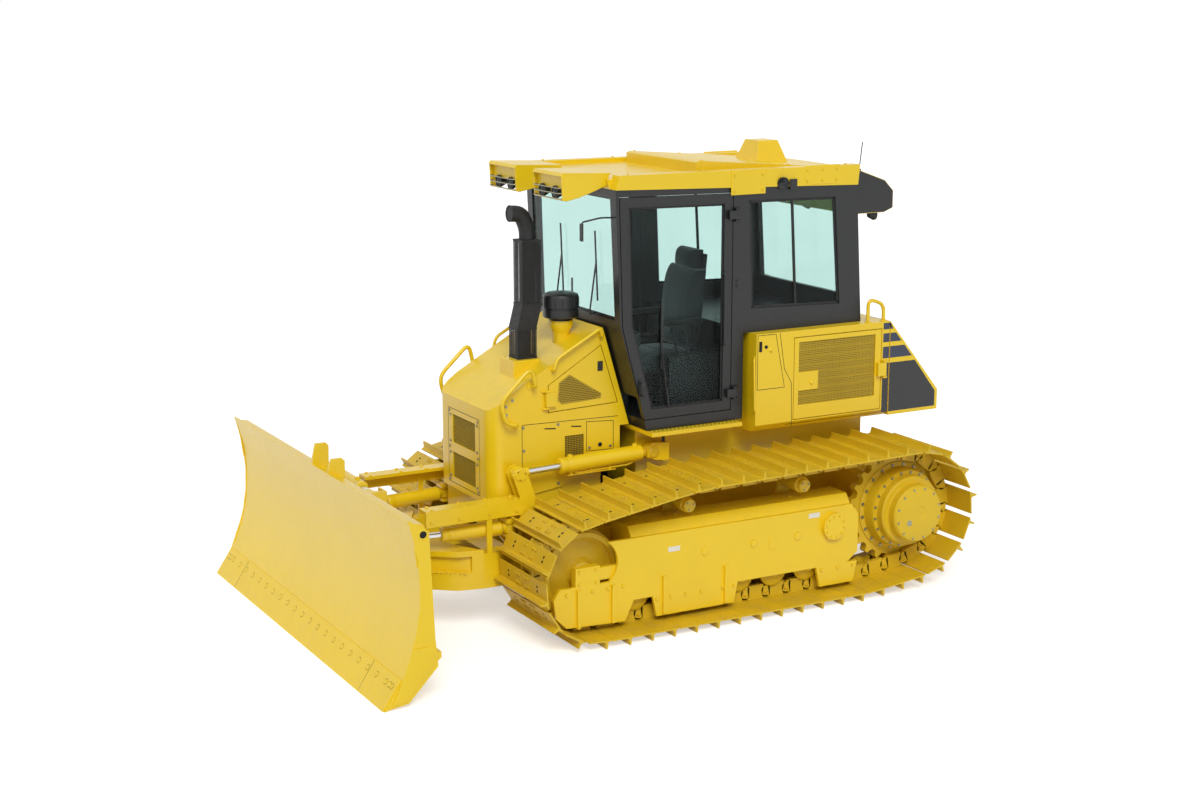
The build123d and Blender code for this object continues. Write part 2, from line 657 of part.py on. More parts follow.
def hood_form(inset):
    with BuildSketch(Plane.XZ.offset(-(HOOD_HALF - inset))) as side:
        with BuildLine():
            Polyline(*HOOD_SIDE, close=True)
        make_face()
        if inset:
            offset(amount=-inset, kind=Kind.INTERSECTION, mode=Mode.REPLACE)
            with BuildLine():
                Polyline((-50, 700), (1180 - inset, 700), (1180 - inset, 1345), (-50, 1345),
                         close=True)
            make_face()
    with BuildPart() as form:
        extrude(side.sketch, amount=2 * (HOOD_HALF - inset))
        with BuildSketch(Plane.XY.offset(700)) as plan:
            with Locations((400, 0)):
                Rectangle(2 * (780 - inset), 2 * (HOOD_HALF - inset))
            fillet(plan.vertices().group_by(Axis.X)[-1], 110 - inset)
        extrude(plan.sketch, amount=1700, mode=Mode.INTERSECT)
    return form.part


def build_hood():
    shell, core = hood_form(0), hood_form(SHELL)
    with BuildPart() as hood:
        add(shell)
        add(core, mode=Mode.SUBTRACT)
        side_slab(HOOD_DOOR, -HOOD_HALF - 5, HOOD_HALF + 5, Mode.SUBTRACT)
        for z0, z1 in ((1190, 1400), (930, 1120)):
            block(1150, 1200, -190, 190, z0, z1, Mode.SUBTRACT)
        for side in (-1, 1):
            block(445, 598, *spans(side, HOOD_HALF - 20, HOOD_HALF + 5), 1111, 1298,
                  Mode.SUBTRACT)
            for z0, z1 in HOOD_HINGE_Z:
                hinge_post((HOOD_HINGE_X, side * (HOOD_HALF + HINGE_OUT)), (-1, 0), (0, side),
                           z0, z1)
    finish(hood, "hood")


def shrunk(points, gap):
    """Corners of an outline moved inward by a gap."""
    with BuildSketch() as area:
        with BuildLine():
            Polyline(*points, close=True)
        make_face()
        offset(amount=-gap, kind=Kind.INTERSECTION, mode=Mode.REPLACE)
    edges = area.sketch.faces()[0].outer_wire().order_edges()
    return [((edge @ 0).X, (edge @ 0).Y) for edge in edges]


def build_hood_door(side, name):
    with BuildPart() as door:
        side_slab(shrunk(HOOD_DOOR, AIR), *spans(side, HOOD_HALF - SHELL, HOOD_HALF))
        for z0, z1 in HOOD_HINGE_Z:
            hinge_leaf((HOOD_HINGE_X, side * (HOOD_HALF + HINGE_OUT)), (-1, 0), (0, side),
                       z0, z1)
    finish(door, name)


def build_engine():
    with BuildPart() as engine:
        block(140, 1000, -260, 260, 540, 1400)
        block(260, 800, -200, 200, 1400, 1560)
    finish(engine, "engine")


# Exhaust with its guard, air precleaner
def build_exhaust():
    x, y = 775.0, 150.0
    with BuildPart() as exhaust:
        block(x - 130, x + 130, y - 110, y + 110, 1740, 1835)
        block(x - 75, x + 75, y - 70, y + 70, 1830, 2060)
        side_slab([(x - 75, 2055), (x + 75, 2055), (x + 35, 2215), (x - 115, 2215)],
                  y - 70, y + 70)
        block(x - 115, x + 35, y - 70, y + 70, 2210, 2680)
        rail([(x - 40, y, 2670), (x - 40, y, 2790), (x, y, 2860), (x + 110, y, 2870)], 45, 25, 12)
        side_slab(HOOD_SIDE, -HOOD_HALF, HOOD_HALF, Mode.SUBTRACT)
    finish(exhaust, "exhaust")


def build_precleaner():
    x, y = 475.0, 160.0
    with BuildPart() as cleaner:
        prism((x, y, 1880), (x, y, 2110), 72, 16)
        prism((x, y, 2105), (x, y, 2285), 130, 20)
        side_slab(HOOD_SIDE, -HOOD_HALF, HOOD_HALF, Mode.SUBTRACT)
    finish(cleaner, "precleaner")


# Cab: hollow body with window openings, roof, panes and two doors
CAB_SIDE = [(95, 1460), (276, 2090), (320, 3050), (-1735, 2990), (-1800, 1960), (-750, 1960),
            (-750, 1325), (60, 1325)]
CAB_DOOR = [(80, 1400), (100, 1470), (262, 2080), (290, 3000), (-650, 2985), (-650, 1400)]
CAB_HINGE_X = -650 - HINGE_BACK
CAB_HINGE_Z = ((1500, 1560), (2800, 2860))
REAR_WINDOW = [(-816, 2137), (-783, 2923), (-1537, 2913), (-1600, 2111)]


def build_cab():
    inner = shrunk(CAB_SIDE, WALL)
    with BuildPart() as cab:
        side_slab(CAB_SIDE, -CAB_HALF, CAB_HALF)
        side_slab(inner, WALL - CAB_HALF, CAB_HALF - WALL, Mode.SUBTRACT)
        side_slab(CAB_DOOR, -CAB_HALF - 5, CAB_HALF + 5, Mode.SUBTRACT)
        side_slab(REAR_WINDOW, -CAB_HALF - 5, CAB_HALF + 5, Mode.SUBTRACT)
        block(180, 400, -GLASS_HALF, GLASS_HALF, 2130, 2990, Mode.SUBTRACT)
        block(-1850, -1600, -GLASS_HALF, GLASS_HALF, 2150, 2900, Mode.SUBTRACT)
        for side in (-1, 1):
            for z0, z1 in CAB_HINGE_Z:
                hinge_post((CAB_HINGE_X, side * (CAB_HALF + HINGE_OUT)), (1, 0), (0, side),
                           z0, z1)
    finish(cab, "cab")


def build_cab_glass():
    with BuildPart() as glass:
        side_slab([(262, 2130), (270, 2130), (309, 2990), (301, 2990)], -GLASS_HALF, GLASS_HALF)
        side_slab([(-1776, 2150), (-1768, 2150), (-1721, 2900), (-1729, 2900)],
                  -GLASS_HALF, GLASS_HALF)
        for side in (-1, 1):
            side_slab(REAR_WINDOW, *spans(side, CAB_HALF - 24, CAB_HALF - 24 + PANE))
    finish(glass, "cab_glass")


def build_cab_door(side, tag):
    outline = shrunk(CAB_DOOR, AIR)
    window = shrunk(CAB_DOOR, 75)
    with BuildPart() as door:
        side_slab(outline, *spans(side, CAB_HALF - WALL, CAB_HALF))
        side_slab(window, *spans(side, CAB_HALF - WALL - 5, CAB_HALF + 5), Mode.SUBTRACT)
        for z0, z1 in CAB_HINGE_Z:
            hinge_leaf((CAB_HINGE_X, side * (CAB_HALF + HINGE_OUT)), (1, 0), (0, side), z0, z1)
    finish(door, "cab_door_" + tag)
    with BuildPart() as pane:
        side_slab(window, *spans(side, CAB_HALF - 24, CAB_HALF - 24 + PANE))
    finish(pane, "door_glass_" + tag)


def build_roof():
    with BuildPart() as roof:
        side_slab([(320, 3050), (340, 3120), (-1760, 3110), (-1735, 2990)],
                  -GLASS_HALF, GLASS_HALF)
        for side in (-1, 1):
            side_slab([(320, 3050), (290, 3150), (-1750, 3140), (-1735, 2990)],
                      *spans(side, CAB_HALF - 90, CAB_HALF + 10))
            side_slab([(330, 3060), (650, 3060), (650, 3150), (300, 3150)],
                      *spans(side, 150, CAB_HALF - 120))
        side_slab([(-1600, 3095), (-1600, 3115), (-470, 3205), (-440, 3195), (-440, 3100)],
                  -PLATE_HALF, PLATE_HALF)
        with BuildSketch(Plane.XY.offset(3100)) as foot:
            with Locations((-1330, 0)):
                Rectangle(300, 320)
        with BuildSketch(Plane.XY.offset(DOME_TOP)) as crown:
            with Locations((-1330, 0)):
                Rectangle(170, 190)
        loft([foot.sketch.faces()[0], crown.sketch.faces()[0]])
        side_slab([(-1735, 2990), (-1745, 3110), (-2050, 3000), (-2130, 2920), (-2130, 2790),
                   (-2050, 2760), (-1770, 2760), (-1750, 2760)],
                  -GLASS_HALF, GLASS_HALF)
    finish(roof, "cab_roof")


def build_seat():
    with BuildPart() as seat:
        block(-640, -280, -180, 180, 1365, 1650)
        block(-690, -180, -260, 260, 1650, 1790)
        side_slab([(-670, 1760), (-540, 1760), (-620, 2500), (-740, 2500)], -230, 230)
    finish(seat, "seat")


def build_console():
    with BuildPart() as console:
        block(-40, 140, -420, 420, 1880, 1990)
        block(-70, 0, -200, 200, 1365, 1950)
        for side in (-1, 1):
            block(-700, -250, *spans(side, 330, 470), 1365, 1800)
    finish(console, "console")


# Rear body: hollow box round the cooling pack, side doors, tail door
BODY_DOOR = (-1930.0, -1130.0, 1290.0, 1910.0)
BODY_HINGE_X = BODY_DOOR[0] - HINGE_BACK
BODY_HINGE_Z = ((1550, 1650),)
TAIL_AXIS = (-2000.0 + HINGE_BACK, -BODY_HALF - HINGE_OUT)
TAIL_HINGE_Z = ((1300, 1350), (1760, 1810))


def build_rear_body():
    x0, x1, z0, z1 = BODY_DOOR
    with BuildPart() as body:
        section = [(BODY_HALF, 1960), (BODY_HALF, 1282), (BODY_HALF - 60, 1230)]
        front_slab(section + [(-y, z) for y, z in reversed(section)], -2000, -800)
        block(-1985, -1080, -BODY_HALF + 25, BODY_HALF - 25, 1255, 1935, Mode.SUBTRACT)
        block(x0, x1, -BODY_HALF - 5, BODY_HALF + 5, z0, z1, Mode.SUBTRACT)
        block(-2005, -1980, -700, 700, 1290, 1910, Mode.SUBTRACT)
        for side in (-1, 1):
            for z0, z1 in BODY_HINGE_Z:
                hinge_post((BODY_HINGE_X, side * (BODY_HALF + HINGE_OUT)), (1, 0), (0, side),
                           z0, z1)
        for z0, z1 in TAIL_HINGE_Z:
            hinge_post(TAIL_AXIS, (-1, 0), (0, -1), z0, z1)
    finish(body, "rear_body")


def build_body_door(side, tag):
    x0, x1, z0, z1 = BODY_DOOR
    y0, y1 = spans(side, BODY_HALF - 25, BODY_HALF)
    with BuildPart() as door:
        block(x0 + AIR, x1 - AIR, y0, y1, z0 + AIR, z1 - AIR)
        block(-1870, -1176, y0 - 5, y1 + 5, 1400, 1870, Mode.SUBTRACT)
        for k in range(1, 8):
            z = 1400 + k * 58.75
            block(-1870, -1176, *spans(side, BODY_HALF - 18, BODY_HALF - 12), z - 8, z + 8)
        for z0, z1 in BODY_HINGE_Z:
            hinge_leaf((BODY_HINGE_X, side * (BODY_HALF + HINGE_OUT)), (1, 0), (0, side), z0, z1)
    finish(door, "body_door_" + tag)


def build_tail_door():
    with BuildPart() as tail:
        side_slab([(-2006, 1960), (-2475, 1390), (-2475, 1235), (-2006, 1235)],
                  -BODY_HALF, BODY_HALF)
        side_slab([(-2000, 1890), (-2440, 1360), (-2440, 1275), (-2000, 1275)],
                  35 - BODY_HALF, BODY_HALF - 35, Mode.SUBTRACT)
        for k in range(6):
            x = -2090 - 60 * k
            z = 1960 - (-2006 - x) * 1.2154
            block(x - 22, x + 22, -600, 600, z - 120, z + 40, Mode.SUBTRACT)
        for z0, z1 in TAIL_HINGE_Z:
            hinge_leaf(TAIL_AXIS, (-1, 0), (0, -1), z0, z1)
    finish(tail, "tail_door")


def build_cooling_pack():
    with BuildPart() as pack:
        block(-1960, -1840, -620, 620, 1255, 1900)
        prism((-1840, 0, 1580), (-1700, 0, 1580), 300, 20)
        block(-1700, -1100, -160, 160, 1255, 1600)
    finish(pack, "cooling_pack")


def build_handrails():
    with BuildPart() as rails:
        for side in (-1, 1):
            y = side * (HOOD_HALF + 65)
            wall = side * HOOD_HALF
            rail([(1000, wall, 1430), (1000, y, 1430), (1095, y, 1455), (1135, y, 1610),
                  (890, y, 1840), (860, y, 1690), (860, wall, 1690)], 15, 28)
            y = side * (HOOD_HALF + 40)
            rail([(700, wall, 1790), (700, y, 1790), (680, y, 1870), (330, y, 2060),
                  (315, y, 2003), (315, wall, 2003)], 12, 18)
            y = side * (CAB_HALF + 50)
            rail([(-1830, y, 1960), (-1830, y, 2134), (-1975, y, 2085), (-1975, y, 1960)], 14, 30)
    finish(rails, "handrails")


def build_hoses():
    x, z = LIFT_PIVOT
    with BuildPart() as hoses:
        for side in (-1, 1):
            rail([(x - 100, side * (LIFT_Y + 26), z + 60), (x - 100, side * (LIFT_Y + 26), z + 115),
                  (x - 20, side * (LIFT_Y - 30), z + 122), (x - 20, side * HOOD_HALF, z + 122)],
                 12, 25)
    finish(hoses, "hull_hoses")
    with BuildPart() as hoses:
        for y in (170, 205):
            rail([(1985, y, 795), (1985, y, 870), (1890, y, 950), (1850, y - 80, 985),
                  (1850, y - 170, 860), (HEAD_REAR, y - 170, 860)], 14, 35)
    finish(hoses, "head_hoses")


def build_lamps():
    with BuildPart() as lamps:
        for side in (-1, 1):
            for y in (250, 440):
                prism((600, side * y, 3008), (670, side * y, 3008), 52, 12)
            block(-1180, -1020, *spans(side, CAB_HALF + 10, CAB_HALF + 60), 2990, 3080)
    finish(lamps, "lamps")


build_main_frame()
build_side_brackets()
for SIDE, TAG in ((1, "left"), (-1, "right")):
    build_track(SIDE, "track_" + TAG)
    build_wheels(SIDE, "wheels_" + TAG)
    build_track_frame(SIDE, "track_frame_" + TAG)
    build_hood_door(SIDE, "hood_door_" + TAG)
    build_cab_door(SIDE, TAG)
    build_body_door(SIDE, TAG)
build_c_frame()
build_head()
build_blade()
build_cutting_edge()
build_cylinders()
build_hood()
build_engine()
build_exhaust()
build_precleaner()
build_cab()
build_cab_glass()
build_roof()
build_seat()
build_console()
build_rear_body()
build_tail_door()
build_cooling_pack()
build_handrails()
build_hoses()
build_lamps()
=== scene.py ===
import logging
import math
from dataclasses import dataclass
from enum import Enum
from typing import Iterable, Sequence

import bmesh
import bpy
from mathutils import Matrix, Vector


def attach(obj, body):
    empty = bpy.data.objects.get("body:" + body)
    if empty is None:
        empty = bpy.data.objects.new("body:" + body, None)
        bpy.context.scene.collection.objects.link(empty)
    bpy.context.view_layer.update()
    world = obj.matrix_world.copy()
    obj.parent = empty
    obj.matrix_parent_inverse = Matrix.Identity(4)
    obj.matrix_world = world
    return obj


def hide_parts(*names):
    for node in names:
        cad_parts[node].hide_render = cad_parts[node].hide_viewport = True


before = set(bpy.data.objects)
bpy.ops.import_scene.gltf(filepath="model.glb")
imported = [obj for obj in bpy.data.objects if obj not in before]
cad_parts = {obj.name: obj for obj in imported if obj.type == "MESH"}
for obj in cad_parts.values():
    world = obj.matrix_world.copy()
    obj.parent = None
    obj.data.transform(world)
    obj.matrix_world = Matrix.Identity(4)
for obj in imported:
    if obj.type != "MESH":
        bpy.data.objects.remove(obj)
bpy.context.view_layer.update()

"""Looks of a crawler dozer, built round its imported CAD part.

Lengths are millimetres in the row frame (+X forward, +Y left, +Z up) and turn to metres
when a form becomes an object.
"""

LOG = logging.getLogger("dozer")
MM = 0.001
SIDES = ((1, "left"), (-1, "right"))
Point = tuple[float, float]
Point3 = tuple[float, float, float]
Span = tuple[float, float]

# Widths and places that the CAD part gives
TRACK_Y = 973.0
SHOE_HALF = 355.0
HOOD_HALF = 450.0
CAB_HALF = 680.0
BODY_HALF = 780.0
BLADE_HALF = 1675.0
IDLER: Point = (790.0, 475.0)
SPROCKET: Point = (-1930.0, 590.0)
IDLER_PINS = 358.0
SPROCKET_PINS = 415.0
LINKS = 44
TEETH = 23
PIN_TO_RAIL = 52.0
PIN_TO_SHOE = 55.0
SHOE_PLATE = 12.0
GROUSER = 50.0
PIN_HEIGHT = PIN_TO_SHOE + SHOE_PLATE + GROUSER
ROLLER_X = [380.0 - 290.0 * step for step in range(7)]
ROLLER_R = 95.0
CARRIERS = ((-50.0, 970.0), (-1030.0, 990.0))
CARRIER_R = 60.0
LIFT_PIVOT: Point = (-40.0, 1140.0)
LIFT_EYE: Point = (1026.0, 1100.0)
LIFT_Y = 550.0
ANGLE_REAR: Point = (1090.0, 545.0)
ANGLE_EYE: Point = (1875.0, 450.0)
ANGLE_Z = 720.0
TILT_REAR: Point = (-420.0, 1010.0)
TILT_EYE: Point = (330.0, 1010.0)
TILT_X = 1995.0
ARC_LOW: Point = (2395.0, 190.0)
ARC_DEEP: Point = (2262.0, 660.0)
ARC_TOP: Point = (2335.0, 1205.0)
CAB_DOOR = ((80.0, 1400.0), (100.0, 1470.0), (262.0, 2080.0), (290.0, 3000.0), (-650.0, 2985.0),
            (-650.0, 1400.0))
REAR_WINDOW = ((-816.0, 2137.0), (-783.0, 2923.0), (-1537.0, 2913.0), (-1600.0, 2111.0))
EXHAUST: Point = (775.0, 150.0)
PRECLEANER: Point3 = (475.0, 160.0, 2105.0)
STEP_TOP = 1320.0
STUD_TOP = 446.0
TAIL_X = -2450.0
TAIL_KINK = 1380.0

# Edges in degrees, light, and the camera's place in metres
SHARP_DEGREES = 32.0
ROUNDED_DEGREES = 28.0
WELD_METRES = 0.00005
FLAT_DEGREES = 0.6
THIN_GLASS_IOR = 1.18
PAINT_IOR = 1.5
AMBIENT = 0.34
FLOOR_GLOW = 0.5
FLOOR_REACH = 60.0
WHITE = (1.0, 1.0, 1.0, 1.0)
FLOOR_GREY = (0.88, 0.88, 0.88, 1.0)
CAMERA_LENS = 57.35
CAMERA_SENSOR = 36.0
CAMERA_REACH = 200.0
CAMERA_PLACE: Point3 = (6.78, 12.14, 4.43)
CAMERA_BACK: Point3 = (0.473, 0.855, 0.212)


class Plane(Enum):
    """Plane that an outline is drawn on; the form grows along its normal."""

    SIDE = "xz"
    PLAN = "xy"
    FRONT = "yz"

    def place(self, a: float, b: float, h: float) -> Vector:
        """Point with a and b on the plane and h along its normal, in millimetres."""
        if self is Plane.SIDE:
            return Vector((a, h, b))
        if self is Plane.PLAN:
            return Vector((a, b, h))
        return Vector((h, a, b))


@dataclass(frozen=True)
class Finish:
    """One finish: colour, gloss and the small marks that a real surface shows."""

    name: str
    colour: str
    slot: str
    roughness: float = 0.4
    metallic: float = 0.0
    coat: float = 0.0
    tint: float = 0.06
    grain_mm: float = 3.0
    bump: float = 0.05
    dust: float = 0.0
    dust_colour: str = "#8C7C62"
    transmission: float = 0.0
    weave_mm: float = 0.0


YELLOW = Finish("yellow_paint_coat", "#EFCB10", "yellow_paint", 0.36, coat=0.25, tint=0.05,
                grain_mm=2.2, bump=0.035, dust=0.10)
TRACK_PAINT = Finish("track_paint", "#D9B51A", "track_steel", 0.5, coat=0.05, tint=0.12,
                     grain_mm=3.0, bump=0.12, dust=0.22)
CAST_PAINT = Finish("cast_yellow", "#DDB916", "cast_steel", 0.48, coat=0.08, tint=0.08,
                    grain_mm=4.0, bump=0.2, dust=0.16)
EDGE_PAINT = Finish("edge_paint", "#EECA14", "edge_steel", 0.4, coat=0.2, tint=0.06, dust=0.12)
BLACK = Finish("black_paint", "#17181A", "black_trim", 0.42, coat=0.12, tint=0.15, bump=0.06)
BLACK_HOT = Finish("black_heat_paint", "#141414", "black_trim", 0.6, tint=0.2, bump=0.15)
STRIPE = Finish("dark_blue_film", "#1F2A44", "black_trim", 0.3, coat=0.3, tint=0.05)
FIELD = Finish("black_film", "#0E0F11", "black_trim", 0.28, coat=0.3, tint=0.05)
GLASS = Finish("green_tinted_glass", "#D6EAE6", "tinted_glass", 0.03, transmission=1.0)
LENS = Finish("lamp_lens", "#E9EEF0", "tinted_glass", 0.06, transmission=1.0)
CHROME = Finish("hard_chrome", "#D6D8DA", "chrome_rod", 0.12, metallic=1.0, tint=0.03, bump=0.01)
RUBBER = Finish("hose_rubber", "#121212", "black_rubber", 0.62, tint=0.15, grain_mm=1.5, bump=0.2)
MESH = Finish("grille_mesh", "#B4961C", "yellow_paint", 0.55, tint=0.15, dust=0.2)
# Near-black for the engine and cooling pack, and painted shade in holes, gaps, slots and behind
# grilles.
DARK_PARTS_AND_SHADE = Finish("dark_parts_and_painted_shade", "#0B0B0B", "black_trim", 0.85, tint=0.2)
BOLT = Finish("zinc_bolt", "#9C9A86", "edge_steel", 0.38, metallic=0.85, tint=0.1, bump=0.05)
PLASTIC = Finish("moulded_plastic", "#1B1C1E", "grey_plastic", 0.6, grain_mm=1.2, bump=0.25)
FABRIC = Finish("woven_seat_cloth", "#1B1C1F", "seat_fabric", 0.9, tint=0.2, weave_mm=2.4)
LABEL = Finish("blank_plate", "#E4E2D8", "edge_steel", 0.45, tint=0.05)
CLOTH_THREAD = "#34363B"


def linear(code: str) -> tuple[float, float, float, float]:
    """Linear colour of an sRGB hex code.

    Args:
        code: six hex digits after a hash mark.

    Returns:
        Red, green, blue and alpha in linear light.
    """
    parts = [int(code[k:k + 2], 16) / 255 for k in (1, 3, 5)]
    red, green, blue = (c / 12.92 if c <= 0.04045 else ((c + 0.055) / 1.055) ** 2.4 for c in parts)
    return (red, green, blue, 1.0)


def set_inputs(node: bpy.types.Node, values: dict) -> None:
    """Sets input sockets of a node by name."""
    for key, value in values.items():
        node.inputs[key].default_value = value


def add_node(tree: bpy.types.NodeTree, kind: str, values: dict | None = None, **settings):
    """Adds a shader node with values of its input sockets and settings of its own."""
    node = tree.nodes.new(kind)
    for key, value in settings.items():
        setattr(node, key, value)
    set_inputs(node, values or {})
    return node


def mix_colour(tree: bpy.types.NodeTree, factor, first, second):
    """Socket of two mixed colours, with each input a value or a socket."""
    node = add_node(tree, "ShaderNodeMix", data_type="RGBA")
    for index, value in ((0, factor), (6, first), (7, second)):
        if isinstance(value, bpy.types.NodeSocket):
            tree.links.new(value, node.inputs[index])
        else:
            node.inputs[index].default_value = value
    return node.outputs[2]


def joined(tree: bpy.types.NodeTree, operation: str, first, second):
    """Socket of a sum, product or the like of two sockets."""
    node = add_node(tree, "ShaderNodeMath", operation=operation)
    tree.links.new(first, node.inputs[0])
    tree.links.new(second, node.inputs[1])
    return node.outputs[0]


def scaled(tree: bpy.types.NodeTree, source, start: float, end: float, low: float = 0.0,
           high: float = 1.0):
    """Socket that runs from start to end as its source runs from low to high."""
    node = add_node(tree, "ShaderNodeMapRange", {"From Min": low, "From Max": high,
                                                 "To Min": start, "To Max": end})
    tree.links.new(source, node.inputs["Value"])
    return node.outputs["Result"]


MATERIALS: dict[str, bpy.types.Material] = {}


def material_of(finish: Finish) -> bpy.types.Material:
    """Procedural material of a finish, made once.

    Args:
        finish: the finish.

    Returns:
        The material.
    """
    if finish.name in MATERIALS:
        return MATERIALS[finish.name]
    material = bpy.data.materials.new(finish.name)
    material.use_nodes = True
    tree = material.node_tree
    shader = tree.nodes["Principled BSDF"]
    set_inputs(shader, {"Metallic": finish.metallic, "Coat Weight": finish.coat,
                        "Coat Roughness": 0.2, "Transmission Weight": finish.transmission,
                        "IOR": THIN_GLASS_IOR if finish.transmission else PAINT_IOR})
    place = add_node(tree, "ShaderNodeTexCoord").outputs["Object"]

    def noise(size_mm: float, detail: float = 3.0):
        node = add_node(tree, "ShaderNodeTexNoise", {"Scale": 1000 / size_mm, "Detail": detail})
        tree.links.new(place, node.inputs["Vector"])
        return node.outputs["Fac"]

    base = linear(finish.colour)
    shade = tuple(c * (1 - finish.tint) for c in base[:3]) + (1.0,)
    pale = tuple(min(1.0, c * (1 + finish.tint)) for c in base[:3]) + (1.0,)
    colour = mix_colour(tree, noise(420.0), shade, pale)
    if finish.dust:
        geometry = add_node(tree, "ShaderNodeNewGeometry")
        split = add_node(tree, "ShaderNodeSeparateXYZ")
        tree.links.new(geometry.outputs["Normal"], split.inputs[0])
        upward = scaled(tree, split.outputs["Z"], 0.15, 1.0, 0.2, 1.0)
        patch = scaled(tree, noise(90.0, 6.0), 0.0, finish.dust, 0.45, 0.75)
        share = joined(tree, "MULTIPLY", upward, patch)
        colour = mix_colour(tree, share, colour, linear(finish.dust_colour))
    height = noise(finish.grain_mm, 2.0)
    if finish.weave_mm:
        wave = add_node(tree, "ShaderNodeTexWave", {"Scale": 500 / finish.weave_mm,
                                                    "Distortion": 1.0})
        tree.links.new(place, wave.inputs["Vector"])
        height = wave.outputs["Fac"]
        colour = mix_colour(tree, height, colour, linear(CLOTH_THREAD))
        shader.inputs["Sheen Weight"].default_value = 0.4
    tree.links.new(colour, shader.inputs["Base Color"])
    low, high = finish.roughness * 0.85, finish.roughness * 1.18
    tree.links.new(scaled(tree, noise(35.0, 4.0), low, high, 0.3, 0.7), shader.inputs["Roughness"])
    if not finish.transmission:
        bump = add_node(tree, "ShaderNodeBump", {"Strength": finish.bump, "Distance": MM})
        tree.links.new(height, bump.inputs["Height"])
        tree.links.new(bump.outputs["Normal"], shader.inputs["Normal"])
    MATERIALS[finish.name] = material
    return material


def across(side: int, near: float, far: float) -> Span:
    """Y limits of something between near and far from the middle, on one side."""
    return (near, far) if side > 0 else (-far, -near)


def square_to(axis: Point3) -> tuple[Vector, Vector, Vector]:
    """Direction of an axis and two directions square to it."""
    n = Vector(axis).normalized()
    u = n.orthogonal().normalized()
    return n, u, n.cross(u)


def circle(centre: Vector, u: Vector, v: Vector, radius: float, steps: int) -> list[Vector]:
    """Points evenly round a circle that lies along u and v."""
    turn = [2 * math.pi * k / steps for k in range(steps)]
    return [centre + (u * math.cos(t) + v * math.sin(t)) * radius for t in turn]


